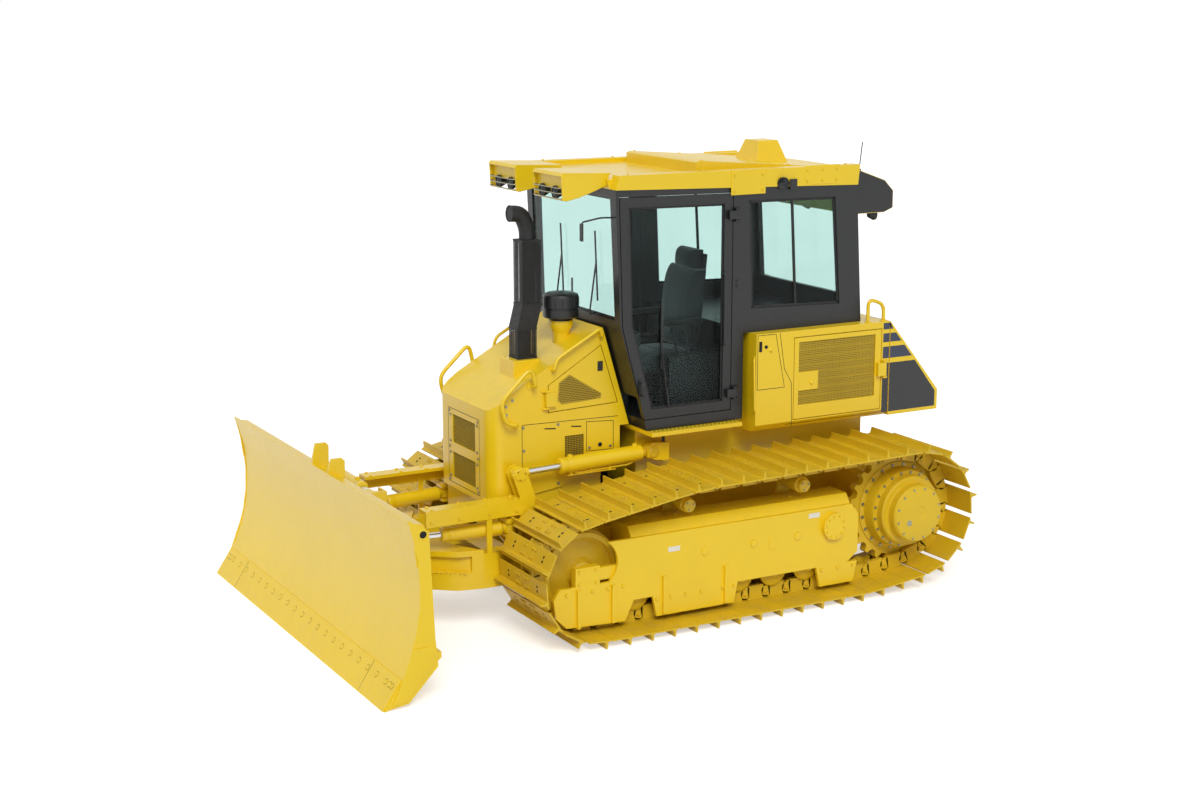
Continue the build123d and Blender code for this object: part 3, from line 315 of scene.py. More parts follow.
class Form:
    """A mesh that grows from simple operations, in millimetres."""

    def __init__(self) -> None:
        self.mesh = bmesh.new()

    def solid(self, points: Sequence[Point], plane: Plane, low: float, high: float) -> "Form":
        """Adds an outline grown between two heights.

        Args:
            points: the outline's corners in order.
            plane: the plane it is drawn on.
            low: first height along the normal.
            high: second height.

        Returns:
            The form itself.
        """
        rings = [[self.mesh.verts.new(plane.place(a, b, h)) for a, b in points]
                 for h in (low, high)]
        count = len(points)
        self.mesh.faces.new(rings[0])
        self.mesh.faces.new(list(reversed(rings[1])))
        for k in range(count):
            m = (k + 1) % count
            self.mesh.faces.new((rings[0][k], rings[1][k], rings[1][m], rings[0][m]))
        return self

    def slab(self, a: Span, b: Span, plane: Plane, low: float, high: float) -> "Form":
        """Adds a rectangle on a plane, grown between two heights."""
        return self.solid([(a[0], b[0]), (a[1], b[0]), (a[1], b[1]), (a[0], b[1])], plane, low, high)

    def box(self, x: Span, y: Span, z: Span) -> "Form":
        """Adds a plain block."""
        return self.slab(x, z, Plane.SIDE, *y)

    def lathe(self, profile: Sequence[Point], at: Point3, axis: Point3, steps: int = 48) -> "Form":
        """Adds a profile of (radius, height) turned about an axis.

        Args:
            profile: radius and height of each ring, in order.
            at: point where the height is zero.
            axis: direction of the height.
            steps: sides of a full turn.

        Returns:
            The form itself.
        """
        n, u, v = square_to(axis)
        rings = []
        for radius, height in profile:
            base = Vector(at) + n * height
            places = circle(base, u, v, radius, steps) if radius > 0 else [base]
            rings.append([self.mesh.verts.new(place) for place in places])
        for low, high in zip(rings, rings[1:]):
            for k in range(steps):
                m = (k + 1) % steps
                corners = list(dict.fromkeys((low[k % len(low)], low[m % len(low)],
                                              high[m % len(high)], high[k % len(high)])))
                if len(corners) > 2:
                    self.mesh.faces.new(corners)
        return self

    def cap(self, radius: float, rim: float, top: float, height: float, at: Point3, axis: Point3,
            steps: int) -> "Form":
        """Adds a round cap with a straight rim and a slope up to its smaller top."""
        return self.lathe([(0, 0), (radius, 0), (radius, rim), (top, height), (0, height)], at, axis,
                          steps)

    def boss(self, radius: float, half: float, at: Point3, axis: Point3) -> "Form":
        """Adds a pin's eye with chamfered rims, half its width each way from a point."""
        return self.lathe([(0, -half), (radius - 5, -half), (radius, 4 - half), (radius, half - 4),
                           (radius - 5, half), (0, half)], at, axis, 40)

    def rod(self, start: Point3, end: Point3, radius: float, steps: int = 24,
            chamfer: float = 0.0) -> "Form":
        """Adds a round bar with its ends closed."""
        axis = Vector(end) - Vector(start)
        length, c = axis.length, chamfer
        profile = [(0, 0), (radius - c, 0)] + ([(radius, c), (radius, length - c)] if c else [])
        profile += [(radius - c, length), (0, length)]
        return self.lathe(profile, start, tuple(axis), steps)

    def tube(self, points: Sequence[Point3], radius: float, bend: float = 40.0,
             steps: int = 14) -> "Form":
        """Adds a tube along a line with rounded corners.

        Args:
            points: the line's corners.
            radius: radius of the tube.
            bend: how far from a corner its round starts.
            steps: sides of the tube.

        Returns:
            The form itself.
        """
        corners = [Vector(p) for p in points]
        path = [corners[0]]
        for a, b, c in zip(corners, corners[1:], corners[2:]):
            reach = min(bend, (a - b).length * 0.48, (c - b).length * 0.48)
            start, end = b + (a - b).normalized() * reach, b + (c - b).normalized() * reach
            path += [start.lerp(b, t).lerp(b.lerp(end, t), t) for t in (0, .2, .4, .6, .8, 1)]
        path.append(corners[-1])
        side = (path[1] - path[0]).orthogonal().normalized()
        rings = []
        for k, point in enumerate(path):
            ahead = path[min(k + 1, len(path) - 1)] - path[max(k - 1, 0)]
            ahead.normalize()
            side = (side - ahead * side.dot(ahead)).normalized()
            places = circle(point, side, ahead.cross(side), radius, steps)
            rings.append([self.mesh.verts.new(place) for place in places])
        for low, high in zip(rings, rings[1:]):
            for k in range(steps):
                m = (k + 1) % steps
                self.mesh.faces.new((low[k], low[m], high[m], high[k]))
        self.mesh.faces.new(list(reversed(rings[0])))
        self.mesh.faces.new(rings[-1])
        return self

    def bolts(self, places: Iterable[Point3], axis: Point3, size: float = 11.0,
              height: float = 8.0) -> "Form":
        """Adds hexagon bolt heads on washers."""
        for place in places:
            self.lathe([(0, 0), (size * 1.25, 0), (size * 1.25, 2.0), (size, 2.0)], place, axis, 16)
            self.lathe([(size, 2.0), (size, height * 0.8), (size * 0.86, height), (0, height)],
                       place, axis, 6)
        return self

    def ring_of_bolts(self, at: Point3, axis: Point3, radius: float, count: int,
                      size: float = 11.0) -> "Form":
        """Adds bolt heads evenly round a circle."""
        _, u, v = square_to(axis)
        return self.bolts([tuple(p) for p in circle(Vector(at), u, v, radius, count)], axis, size)

    def lattice(self, x: Span, z: Span, plane: Plane, level: float, pitch: float,
                wire: float) -> "Form":
        """Adds crossed flat wires that fill a window."""
        columns = max(2, round((x[1] - x[0]) / pitch))
        rows = max(2, round((z[1] - z[0]) / pitch))
        for k in range(1, columns):
            a = x[0] + (x[1] - x[0]) * k / columns
            self.slab((a - wire, a + wire), z, plane, level - wire, level + wire)
        for k in range(1, rows):
            b = z[0] + (z[1] - z[0]) * k / rows
            self.slab(x, (b - wire, b + wire), plane, level - wire * 0.4, level + wire * 1.6)
        return self

    def perforated(self, x: Span, z: Span, plane: Plane, level: float, pitch: float,
                   hole: float) -> "Form":
        """Adds a thin sheet with round holes in rows."""
        columns = max(1, round((x[1] - x[0]) / pitch))
        rows = max(1, round((z[1] - z[0]) / pitch))
        wide, tall = (x[1] - x[0]) / columns, (z[1] - z[0]) / rows
        for i in range(columns):
            for j in range(rows):
                a, b = x[0] + wide * (i + 0.5), z[0] + tall * (j + 0.5)
                outer, inner = [], []
                for k in range(8):
                    t = math.pi / 4 * k
                    c, s = math.cos(t), math.sin(t)
                    scale = 0.5 / max(abs(c), abs(s))
                    outer.append((a + wide * scale * c, b + tall * scale * s))
                    inner.append((a + hole * c, b + hole * s))
                ring = [[self.mesh.verts.new(plane.place(p, q, level)) for p, q in line]
                        for line in (outer, inner)]
                for k in range(8):
                    m = (k + 1) % 8
                    self.mesh.faces.new((ring[0][k], ring[0][m], ring[1][m], ring[1][k]))
        return self

    def done(self, name: str, finish: Finish, body: str = "chassis", replaced: Sequence[str] = (),
             bevel: float = 0.0, segments: int = 2) -> bpy.types.Object:
        """Turns the form into a piece that rides on a body.

        Args:
            name: name of the piece.
            finish: its finish.
            body: CAD body that it rides on.
            replaced: CAD nodes that it stands for.
            bevel: width of the rounded edges in millimetres, or 0 for none.
            segments: steps across a rounded edge.

        Returns:
            The new object.
        """
        bmesh.ops.recalc_face_normals(self.mesh, faces=self.mesh.faces)
        bmesh.ops.scale(self.mesh, vec=(MM, MM, MM), verts=self.mesh.verts)
        return settle(self.mesh, name, finish, body, replaced, bevel, segments)


def settle(mesh: bmesh.types.BMesh, name: str, finish: Finish, body: str, replaced: Sequence[str],
           bevel: float, segments: int = 2) -> bpy.types.Object:
    """Makes a piece of a mesh: smooth shading, finish, rounded edges and the body it rides on."""
    limit = math.radians(SHARP_DEGREES)
    for face in mesh.faces:
        face.smooth = True
    for edge in mesh.edges:
        edge.smooth = len(edge.link_faces) == 2 and edge.calc_face_angle(0.0) < limit
    data = bpy.data.meshes.new(name)
    mesh.to_mesh(data)
    mesh.free()
    piece = bpy.data.objects.new(name, data)
    bpy.context.scene.collection.objects.link(piece)
    data.materials.append(material_of(finish))
    if bevel:
        modifier = piece.modifiers.new("rounded_edges", "BEVEL")
        modifier.width = bevel * MM
        modifier.segments = segments
        modifier.limit_method = "ANGLE"
        modifier.angle_limit = math.radians(ROUNDED_DEGREES)
        modifier.harden_normals = True
    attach(piece, body)
    if replaced:
        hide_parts(*replaced)
    return piece


def dress(node: str, finish: Finish, bevel: float, body: str = "chassis") -> bpy.types.Object:
    """Rebuilds a CAD node's own mesh as a welded piece with rounded edges.

    Args:
        node: the CAD node.
        finish: its finish.
        bevel: width of the rounded edges in millimetres.
        body: the body that carries it.

    Returns:
        The piece.
    """
    mesh = bmesh.new()
    mesh.from_mesh(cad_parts[node].data)
    bmesh.ops.remove_doubles(mesh, verts=mesh.verts, dist=WELD_METRES)
    bmesh.ops.dissolve_limit(mesh, angle_limit=math.radians(FLAT_DEGREES), verts=mesh.verts,
                             edges=mesh.edges)
    return settle(mesh, node + "_dressed", finish, body, (node,), bevel)


# The track's pin line, worked out as the CAD part does
def hull_of_circles() -> list[Point]:
    """Convex line round the idler, sprocket, carriers and last roller."""
    circles = [(*IDLER, IDLER_PINS), (*SPROCKET, SPROCKET_PINS)]
    circles += [(x, top - CARRIER_R, CARRIER_R) for x, top in CARRIERS]
    circles.append((ROLLER_X[-1] - 130, PIN_HEIGHT + CARRIER_R, CARRIER_R))
    steps = 720
    points = sorted({
        (round(x + r * math.cos(2 * math.pi * k / steps), 4),
         round(z + r * math.sin(2 * math.pi * k / steps), 4))
        for x, z, r in circles
        for k in range(steps)
    })

    def half(line: Iterable[Point]) -> list[Point]:
        out: list[Point] = []
        for p in line:
            while len(out) > 1 and (
                (out[-1][0] - out[-2][0]) * (p[1] - out[-2][1])
                - (out[-1][1] - out[-2][1]) * (p[0] - out[-2][0])
            ) <= 0:
                out.pop()
            out.append(p)
        return out[:-1]

    return half(points) + half(reversed(points))


def pin_line() -> list[Point]:
    """Places of the track's pins at one pitch along the line."""
    line = hull_of_circles()
    start = min(range(len(line)), key=lambda k: abs(line[k][0] - IDLER[0]) + line[k][1])
    line = line[start:] + line[:start + 1]
    lengths = [math.dist(a, b) for a, b in zip(line, line[1:])]
    pitch = sum(lengths) / LINKS
    pins: list[Point] = []
    walked, want = 0.0, 0.5 * pitch
    for k, length in enumerate(lengths):
        while want <= walked + length and len(pins) < LINKS:
            t = (want - walked) / length
            a, b = line[k], line[k + 1]
            pins.append((a[0] + t * (b[0] - a[0]), a[1] + t * (b[1] - a[1])))
            want += pitch
        walked += length
    return pins


PINS = pin_line()


@dataclass(frozen=True)
class Link:
    """One link's middle, direction, outward direction and length."""

    middle: Point
    along: Point
    out: Point
    length: float

    def at(self, run: float, rise: float) -> Point:
        """Point on the link at a distance along it and outward from the pins."""
        return (self.middle[0] + self.along[0] * run + self.out[0] * rise,
                self.middle[1] + self.along[1] * run + self.out[1] * rise)


def link_frames() -> list[Link]:
    """Every link of the chain."""
    links = []
    for k in range(LINKS):
        a, b = PINS[k], PINS[(k + 1) % LINKS]
        length = math.dist(a, b)
        along = ((b[0] - a[0]) / length, (b[1] - a[1]) / length)
        middle = ((a[0] + b[0]) / 2, (a[1] + b[1]) / 2)
        links.append(Link(middle, along, (along[1], -along[0]), length))
    return links


CHAIN = link_frames()


def seat_radius(centre: Point) -> float:
    """Radius of a wheel that rests on the rails from a centre inside the loop."""
    best = 1e9
    for link in CHAIN:
        dx, dz = centre[0] - link.middle[0], centre[1] - link.middle[1]
        if abs(dx * link.along[0] + dz * link.along[1]) <= link.length / 2 + PIN_TO_RAIL:
            best = min(best, abs(dx * link.out[0] + dz * link.out[1]) - PIN_TO_RAIL)
    return best


def arc_circle() -> tuple[float, float, float]:
    """Centre and radius of the mouldboard's front."""
    (ax, az), (bx, bz), (cx, cz) = ARC_LOW, ARC_DEEP, ARC_TOP
    d = 2 * (ax * (bz - cz) + bx * (cz - az) + cx * (az - bz))
    a2, b2, c2 = ax * ax + az * az, bx * bx + bz * bz, cx * cx + cz * cz
    x = (a2 * (bz - cz) + b2 * (cz - az) + c2 * (az - bz)) / d
    z = (a2 * (cx - bx) + b2 * (ax - cx) + c2 * (bx - ax)) / d
    return x, z, math.dist((x, z), (ax, az))


def face_x(z: float) -> float:
    """X of the mouldboard's front at a height."""
    x, middle, radius = arc_circle()
    return x - math.sqrt(radius ** 2 - (z - middle) ** 2)


def on_line(a: Point, b: Point, share: float) -> Point:
    """Point at a share of the way from a to b."""
    return (a[0] + (b[0] - a[0]) * share, a[1] + (b[1] - a[1]) * share)


@dataclass
class Track:
    """One track: shoes, chain, wheels and the frame that carries them."""

    side: int
    tag: str

    def build(self) -> None:
        """Makes every piece of this side's running gear."""
        self.shoes()
        self.chain()
        self.wheels()
        self.frame()

    def shoes(self) -> None:
        """Single-grouser shoes with turned lips, bolts, and dark discs of painted shade for the mud
        holes.
        """
        c = self.side * TRACK_Y
        shoes, bolts, holes = Form(), Form(), Form()
        top = PIN_TO_SHOE + SHOE_PLATE
        for link in CHAIN:
            h = link.length / 2
            profile = [(-h + 4, PIN_TO_SHOE - 4), (-h + 16, PIN_TO_SHOE), (h - 4, PIN_TO_SHOE),
                       (h - 1, top - 3), (h - 6, top), (-34, top), (-44, top + 12),
                       (-47, top + GROUSER - 2), (-49, top + GROUSER), (-57, top + GROUSER),
                       (-59, top + GROUSER - 2), (-63, top + 8), (-68, top), (-h + 14, top),
                       (-h + 2, top - 5)]
            shoes.solid([link.at(*p) for p in profile], Plane.SIDE, c - SHOE_HALF, c + SHOE_HALF)
            out = (link.out[0], 0, link.out[1])
            for y in (c - 84, c - 46, c + 46, c + 84):
                for run in (-8, 52):
                    x, z = link.at(run, top)
                    bolts.bolts([(x, y, z)], out, 12, 9)
            # Dark discs of painted shade stand for the mud holes.
            for y in (c - 215, c + 215):
                for run in (2, 34):
                    x, z = link.at(run, top)
                    holes.lathe([(0, 0.5), (9, 0.5), (11, 0.2)], (x, y, z), out, 12)
        shoes.done("track_shoes_" + self.tag, TRACK_PAINT, replaced=("track_" + self.tag,),
                   bevel=1.5, segments=1)
        bolts.done("shoe_bolts_" + self.tag, TRACK_PAINT)
        holes.done("shoe_hole_shade_" + self.tag, DARK_PARTS_AND_SHADE)

    def chain(self) -> None:
        """Two rows of overlapping links on pins and bushings."""
        c = self.side * TRACK_Y
        chain = Form()
        for link in CHAIN:
            h = link.length / 2
            body = [(-h + 26, -PIN_TO_RAIL), (h - 26, -PIN_TO_RAIL), (h - 20, -20), (h - 30, 30),
                    (h - 22, PIN_TO_SHOE - 1), (-h + 22, PIN_TO_SHOE - 1), (-h + 30, 30),
                    (-h + 20, -20)]
            for row in (-1, 1):
                chain.solid([link.at(*p) for p in body], Plane.SIDE,
                            *sorted((c + row * 46, c + row * 84)))
                for end, near, far in ((-1, 46, 64), (1, 66, 84)):
                    eye = []
                    for k in range(9):
                        t = math.pi * (k / 8 - 0.5)
                        eye.append((end * (h + 2 + 36 * math.cos(t)), 36 * math.sin(t)))
                    eye += [(end * (h - 36), 40), (end * (h - 36), -44), (end * (h - 6), -48)]
                    chain.solid([link.at(*p) for p in eye], Plane.SIDE,
                                *sorted((c + row * near, c + row * far)))
        for x, z in PINS:
            chain.rod((x, c - 92, z), (x, c + 92, z), 19, 14, 3)
            chain.rod((x, c - 45, z), (x, c + 45, z), 29, 14)
        chain.done("track_chain_" + self.tag, TRACK_PAINT)

    def wheels(self) -> None:
        """Idler, rollers, carriers and the toothed sprocket with its stepped hub."""
        c, side = self.side * TRACK_Y, self.side
        wheels, bolts = Form(), Form()
        rim = seat_radius(IDLER) - 1
        half = [(0, 114), (52, 114), (62, 104), (82, 92), (92, 60), (110, 44), (rim - 70, 26),
                (rim - 46, 40), (rim - 38, 84), (rim - 6, 88), (rim, 82), (rim, 48),
                (rim + 12, 42), (rim + 18, 30)]
        profile = half + [(r, -h) for r, h in reversed(half)]
        wheels.lathe(profile, (IDLER[0], c, IDLER[1]), (0, 1, 0), 72)
        z = PIN_HEIGHT + PIN_TO_RAIL + ROLLER_R
        roller = [(0, 149), (30, 149), (38, 143), (38, 116), (84, 112), (108, 106), (113, 101),
                  (113, 93), (104, 90), (ROLLER_R, 84), (ROLLER_R, 34), (84, 24), (84, 0)]
        roller = roller + [(r, -h) for r, h in reversed(roller[:-1])]
        for x in ROLLER_X:
            wheels.lathe(roller, (x, c, z), (0, 1, 0), 40)
        for x, top in CARRIERS:
            low = top - PIN_TO_RAIL - CARRIER_R - 2
            r = seat_radius((x, low)) - 0.5
            wheels.lathe([(0, -149), (30, -149), (30, -104), (r - 8, -100), (r, -92), (r, 84),
                          (r - 6, 90), (50, 94), (48, 124), (42, 130), (0, 130)],
                         (x, c, low), (0, 1, 0), 40)
            bolts.ring_of_bolts((x, c + side * 130, low), (0, side, 0), 30, 3, 6)
        teeth = Form()
        outline = []
        for k in range(TEETH):
            for share, rise in ((0.02, -34), (0.20, -37), (0.36, -34), (0.46, -22), (0.55, 4),
                                (0.61, 8), (0.77, 8), (0.83, 4), (0.92, -22)):
                radius = SPROCKET_PINS + rise
                t = 2 * math.pi * (k + share) / TEETH
                outline.append((SPROCKET[0] + radius * math.cos(t),
                                SPROCKET[1] + radius * math.sin(t)))
        teeth.solid(outline, Plane.SIDE, c - 34, c + 34)
        teeth.done("sprocket_teeth_" + self.tag, CAST_PAINT, bevel=2)
        hub = [(340, 30), (340, 44), (318, 52), (306, 52), (302, 60), (302, 128), (292, 150),
               (268, 150), (264, 156), (264, 216), (254, 230), (222, 230), (218, 236), (218, 300),
               (206, 318), (150, 327), (60, 327), (56, 322), (0, 322)]
        at = (SPROCKET[0], c, SPROCKET[1])
        wheels.lathe(hub, at, (0, side, 0), 72)
        for radius, level, count, size in ((320, 50, 20, 11), (279, 150, 20, 9),
                                           (190, 318, 12, 9)):
            place = (at[0], c + side * level, at[2])
            bolts.ring_of_bolts(place, (0, side, 0), radius, count, size)
        bolts.cap(26, 4, 12, 9, (at[0] + 90, c + side * 322, at[2] - 60), (0, side, 0), 20)
        wheels.done("track_wheels_" + self.tag, CAST_PAINT, replaced=("wheels_" + self.tag,))
        bolts.done("wheel_bolts_" + self.tag, BOLT)

    def frame(self) -> None:
        """Dressed track frame with guard bolts, gussets, yoke blocks and blank plates."""
        c, side = self.side * TRACK_Y, self.side
        dress("track_frame_" + self.tag, YELLOW, 6.0)
        outer = side * (TRACK_Y + 177)
        out = (0, side, 0)
        bolts = Form()
        bolts.ring_of_bolts((-1250, side * (TRACK_Y + 215), 560), out, 78, 10, 9)
        for x in (-395, -300, -120, 10, 130, 245, 520, 640, 760, 960, -1440, -1300, -1160):
            bolts.bolts([(x, outer, 232 if x < 500 else 370)], out, 12, 10)
        for x in (730, 860):
            for z in (430, 520):
                bolts.bolts([(x, outer, z)], out, 11, 9)
        for x, _ in CARRIERS:
            for dx in (-45, 45):
                bolts.bolts([(x + dx, c, 770)], (0, 0, 1), 10, 8)
        bolts.done("track_frame_bolts_" + self.tag, YELLOW)
        trim = Form()
        for x in (-150, -560, -940):
            trim.lathe([(0, 0), (26, 0), (30, 3), (30, 7), (22, 10), (0, 10)], (x, outer, 520),
                       out, 28)
        trim.box((-760, -690), across(side, TRACK_Y + 176, TRACK_Y + 181), (455, 545))
        trim.done("track_frame_caps_" + self.tag, YELLOW, bevel=1.5)
        plates = Form()
        for x, z in ((60, 560), (-1130, 640)):
            plates.box((x, x + 95), across(side, TRACK_Y + 176.5, TRACK_Y + 178), (z, z + 36))
        plates.done("track_frame_plates_" + self.tag, LABEL)


@dataclass
class Cylinder:
    """One hydraulic cylinder with its rod, in place on two bodies."""

    name: str
    barrel: str
    rod: str
    rear: Point3
    eye: Point3
    radius: float
    length: float
    axis: Point3
    rear_half: float
    rear_r: float
    eye_half: float
    eye_r: float

    def build(self) -> None:
        """Makes the barrel, gland, ports, rod and eyes."""
        a, b, n = Vector(self.rear), Vector(self.eye), Vector(self.axis)
        u = (b - a).normalized()
        r, end, e, h = self.radius, self.length, self.rear_r, self.rear_half
        body = Form()
        body.boss(e, h, self.rear, self.axis)
        body.lathe([(0, e * 0.5), (h - 2, e * 0.6), (h - 1, e + 8), (r - 8, e + 15),
                    (r, e + 24), (r, end - 70), (r + 0.01, end - 66), (r - 1, end - 64),
                    (r - 1, end - 60), (r, end - 58), (r, end - 12), (r - 6, end - 3),
                    (r * 0.62, end), (r * 0.42, end)], self.rear, tuple(u), 48)
        side = u.cross(n).normalized()
        if side.z < 0:
            side = -side
        for run in (e + 62, end - 92):
            foot = a + u * run + side * (r - 4)
            body.cap(19, 14, 15, 18, tuple(foot), tuple(side), 20)
        body.done(self.name + "_barrel", YELLOW, self.barrel, (self.barrel,))
        bright, eye, s, k = Form(), Form(), r * 0.4, self.eye_r
        bright.rod(tuple(a + u * (end - 60)), tuple(b - u * (k - 6)), s, 32)
        bright.done(self.name + "_rod", CHROME, self.rod, (self.rod,))
        eye.boss(k, self.eye_half, self.eye, self.axis)
        eye.lathe([(s, -k - 34), (s + 8, -k - 30), (s + 9, -k - 6), (s + 4, -k + 10)], self.eye,
                  tuple(u), 32)
        eye.done(self.name + "_eye", YELLOW, self.rod)


def cylinders() -> None:
    """The five cylinders that lift, angle and tilt the blade."""
    for side, tag in SIDES:
        Cylinder("lift_cylinder_" + tag, "lift_barrel_" + tag, "lift_rod_" + tag,
                 (LIFT_PIVOT[0], side * LIFT_Y, LIFT_PIVOT[1]),
                 (LIFT_EYE[0], side * LIFT_Y, LIFT_EYE[1]),
                 58, 740, (0, 1, 0), 35, 58, 27, 50).build()
        Cylinder("angle_cylinder_" + tag, "angle_barrel_" + tag, "angle_rod_" + tag,
                 (ANGLE_REAR[0], side * ANGLE_REAR[1], ANGLE_Z),
                 (ANGLE_EYE[0], side * ANGLE_EYE[1], ANGLE_Z),
                 52, 505, (0, 0, 1), 34, 48, 38, 42).build()
        strip = Form()
        strip.box((250, 640), across(side, LIFT_Y - 24, LIFT_Y + 24), (1040, 1046))
        for x in (290, 440, 600):
            strip.box((x, x + 18), across(side, LIFT_Y - 20, LIFT_Y + 20), (1044, 1078))
        strip.done("tube_guard_" + tag, YELLOW, "lift_barrel_" + tag, bevel=1.5)
        line = Form()
        for y in (side * (LIFT_Y - 12), side * (LIFT_Y + 12)):
            line.tube([(90, y, 1085), (140, y, 1062), (560, y, 1052), (610, y, 1072)], 8, 30)
        line.done("tube_lines_" + tag, YELLOW, "lift_barrel_" + tag)
    Cylinder("tilt_cylinder", "tilt_barrel", "tilt_rod", (TILT_X, *TILT_REAR), (TILT_X, *TILT_EYE),
             48, 500, (1, 0, 0), 24, 44, 24, 38).build()


def inset(points: Sequence[Point], gap: float) -> list[Point]:
    """Corners of an outline moved inward by a gap."""
    count = len(points)
    area = sum(points[k - 1][0] * points[k][1] - points[k][0] * points[k - 1][1]
               for k in range(count))
    turn = 1 if area > 0 else -1
    out = []
    for k in range(count):
        a, b, c = (Vector(points[m % count]) for m in (k - 1, k, k + 1))
        u, v = (b - a).normalized(), (c - b).normalized()
        p, q = Vector((-u.y, u.x)) * turn, Vector((-v.y, v.x)) * turn
        out.append(tuple(b + (p + q) / (1 + p.dot(q)) * gap))
    return out


def inside(point: Point, outline: Sequence[Point]) -> bool:
    """Tells whether a point lies in an outline."""
    hit = False
    for (ax, az), (bx, bz) in zip(outline, list(outline[1:]) + [outline[0]]):
        if (az > point[1]) != (bz > point[1]):
            if point[0] < ax + (point[1] - az) / (bz - az) * (bx - ax):
                hit = not hit
    return hit


def closed(points: Sequence[Point]) -> list[Point]:
    """Outline with its first corner again at the end."""
    return [*points, points[0]]


def seam(form: Form, points: Sequence[Point], plane: Plane, level: float, width: float = 4.0,
         depth: float = 0.6) -> Form:
    """Adds a thin strip along a line on a face, such as a seal, or the painted shade of a door gap.
    """
    for a, b in zip(points, points[1:]):
        dx, dy = b[0] - a[0], b[1] - a[1]
        half = width / 2 / math.hypot(dx, dy)
        px, py = -dy * half, dx * half
        form.solid([(a[0] + px, a[1] + py), (b[0] + px, b[1] + py), (b[0] - px, b[1] - py),
                    (a[0] - px, a[1] - py)], plane, level - depth, level + depth)
    return form


def dots(form: Form, outline: Sequence[Point], plane: Plane, level: float, lift: float,
         pitch: float, size: float) -> Form:
    """Adds rows of small round marks that fill an outline, such as painted shade for the holes of a
    mesh.
    """
    low = (min(p[0] for p in outline), min(p[1] for p in outline))
    high = (max(p[0] for p in outline), max(p[1] for p in outline))
    for i in range(int((high[0] - low[0]) / pitch) + 1):
        for j in range(int((high[1] - low[1]) / pitch) + 1):
            a = low[0] + pitch * (i + 0.5 * (j % 2))
            b = low[1] + pitch * j
            if inside((a, b), outline):
                ring = [form.mesh.verts.new(plane.place(a + size * math.cos(math.pi / 3 * k),
                                                        b + size * math.sin(math.pi / 3 * k),
                                                        level + lift)) for k in range(6)]
                form.mesh.faces.new(ring)
    return form


def blade() -> None:
    """Mouldboard, edge with its countersunk bolts, end plates and brackets."""
    dress("blade", YELLOW, 3.0, "blade")
    dress("cutting_edge", EDGE_PAINT, 3.0, "blade")
    low, high, out = (2530.0, 0.0), (2403.0, 190.0), (190.0, 0.0, 127.0)
    # The dark form is painted shade: rings round the countersunk heads, strips in the cutting edge's
    # joints and discs in the end plates' pin holes.
    heads, dark, welds = Form(), Form(), Form()
    places = [-1500 + 150 * k for k in range(21)] + [-1600, -1560, 1560, 1600]
    for y in places:
        x, z = on_line(low, high, 0.72)
        heads.lathe([(0, 0.8), (9, 0.8), (10, 2.2), (17, 2.2), (18, 0)], (x, y, z), out, 20)
        dark.lathe([(19, 0.3), (21.5, 0.3)], (x, y, z), out, 20)
    for y in (-1235, 1235):
        a, b = on_line(low, high, 0.02), on_line(low, high, 0.99)
        dark.solid([a, b, (b[0] + 0.8, b[1] + 0.5), (a[0] - 0.2, a[1] + 0.5)], Plane.SIDE,
                   y - 1.5, y + 1.5)
    for side, _ in SIDES:
        hole, y = (2236, side * (BLADE_HALF - 8), 1112), side * (BLADE_HALF - 20)
        dark.lathe([(0, 0.4), (24, 0.4)], hole, (0, side, 0), 28)
        heads.lathe([(24, 0), (24, 3), (33, 3), (35, 0)], hole, (0, side, 0), 28)
        for z in (300, 470, 640, 810, 980):
            welds.tube([(face_x(z) - 2, y, z - 80), (face_x(z + 80) + 2, y, z + 80)], 4, steps=8)
    heads.done("edge_bolts", EDGE_PAINT, "blade")
    dark.done("edge_gap_shade", DARK_PARTS_AND_SHADE, "blade")
    welds.done("end_plate_welds", YELLOW, "blade")
    trim = Form()
    for y, top in ((-15, 1345), (285, 1300)):
        trim.lathe([(18, -13), (30, -13), (30, 13), (18, 13)], (2262, y, top - 32), (0, 1, 0), 28)
        trim.tube([(2200, y, 1075), (2211, y, top - 24)], 4, steps=8)
    for y in (-1300, -760, 760, 1300):
        trim.cap(26, 8, 20, 12, (2200, y, 1100), (-1, 0, 0), 24)
    trim.done("blade_eyes", YELLOW, "blade", bevel=2)


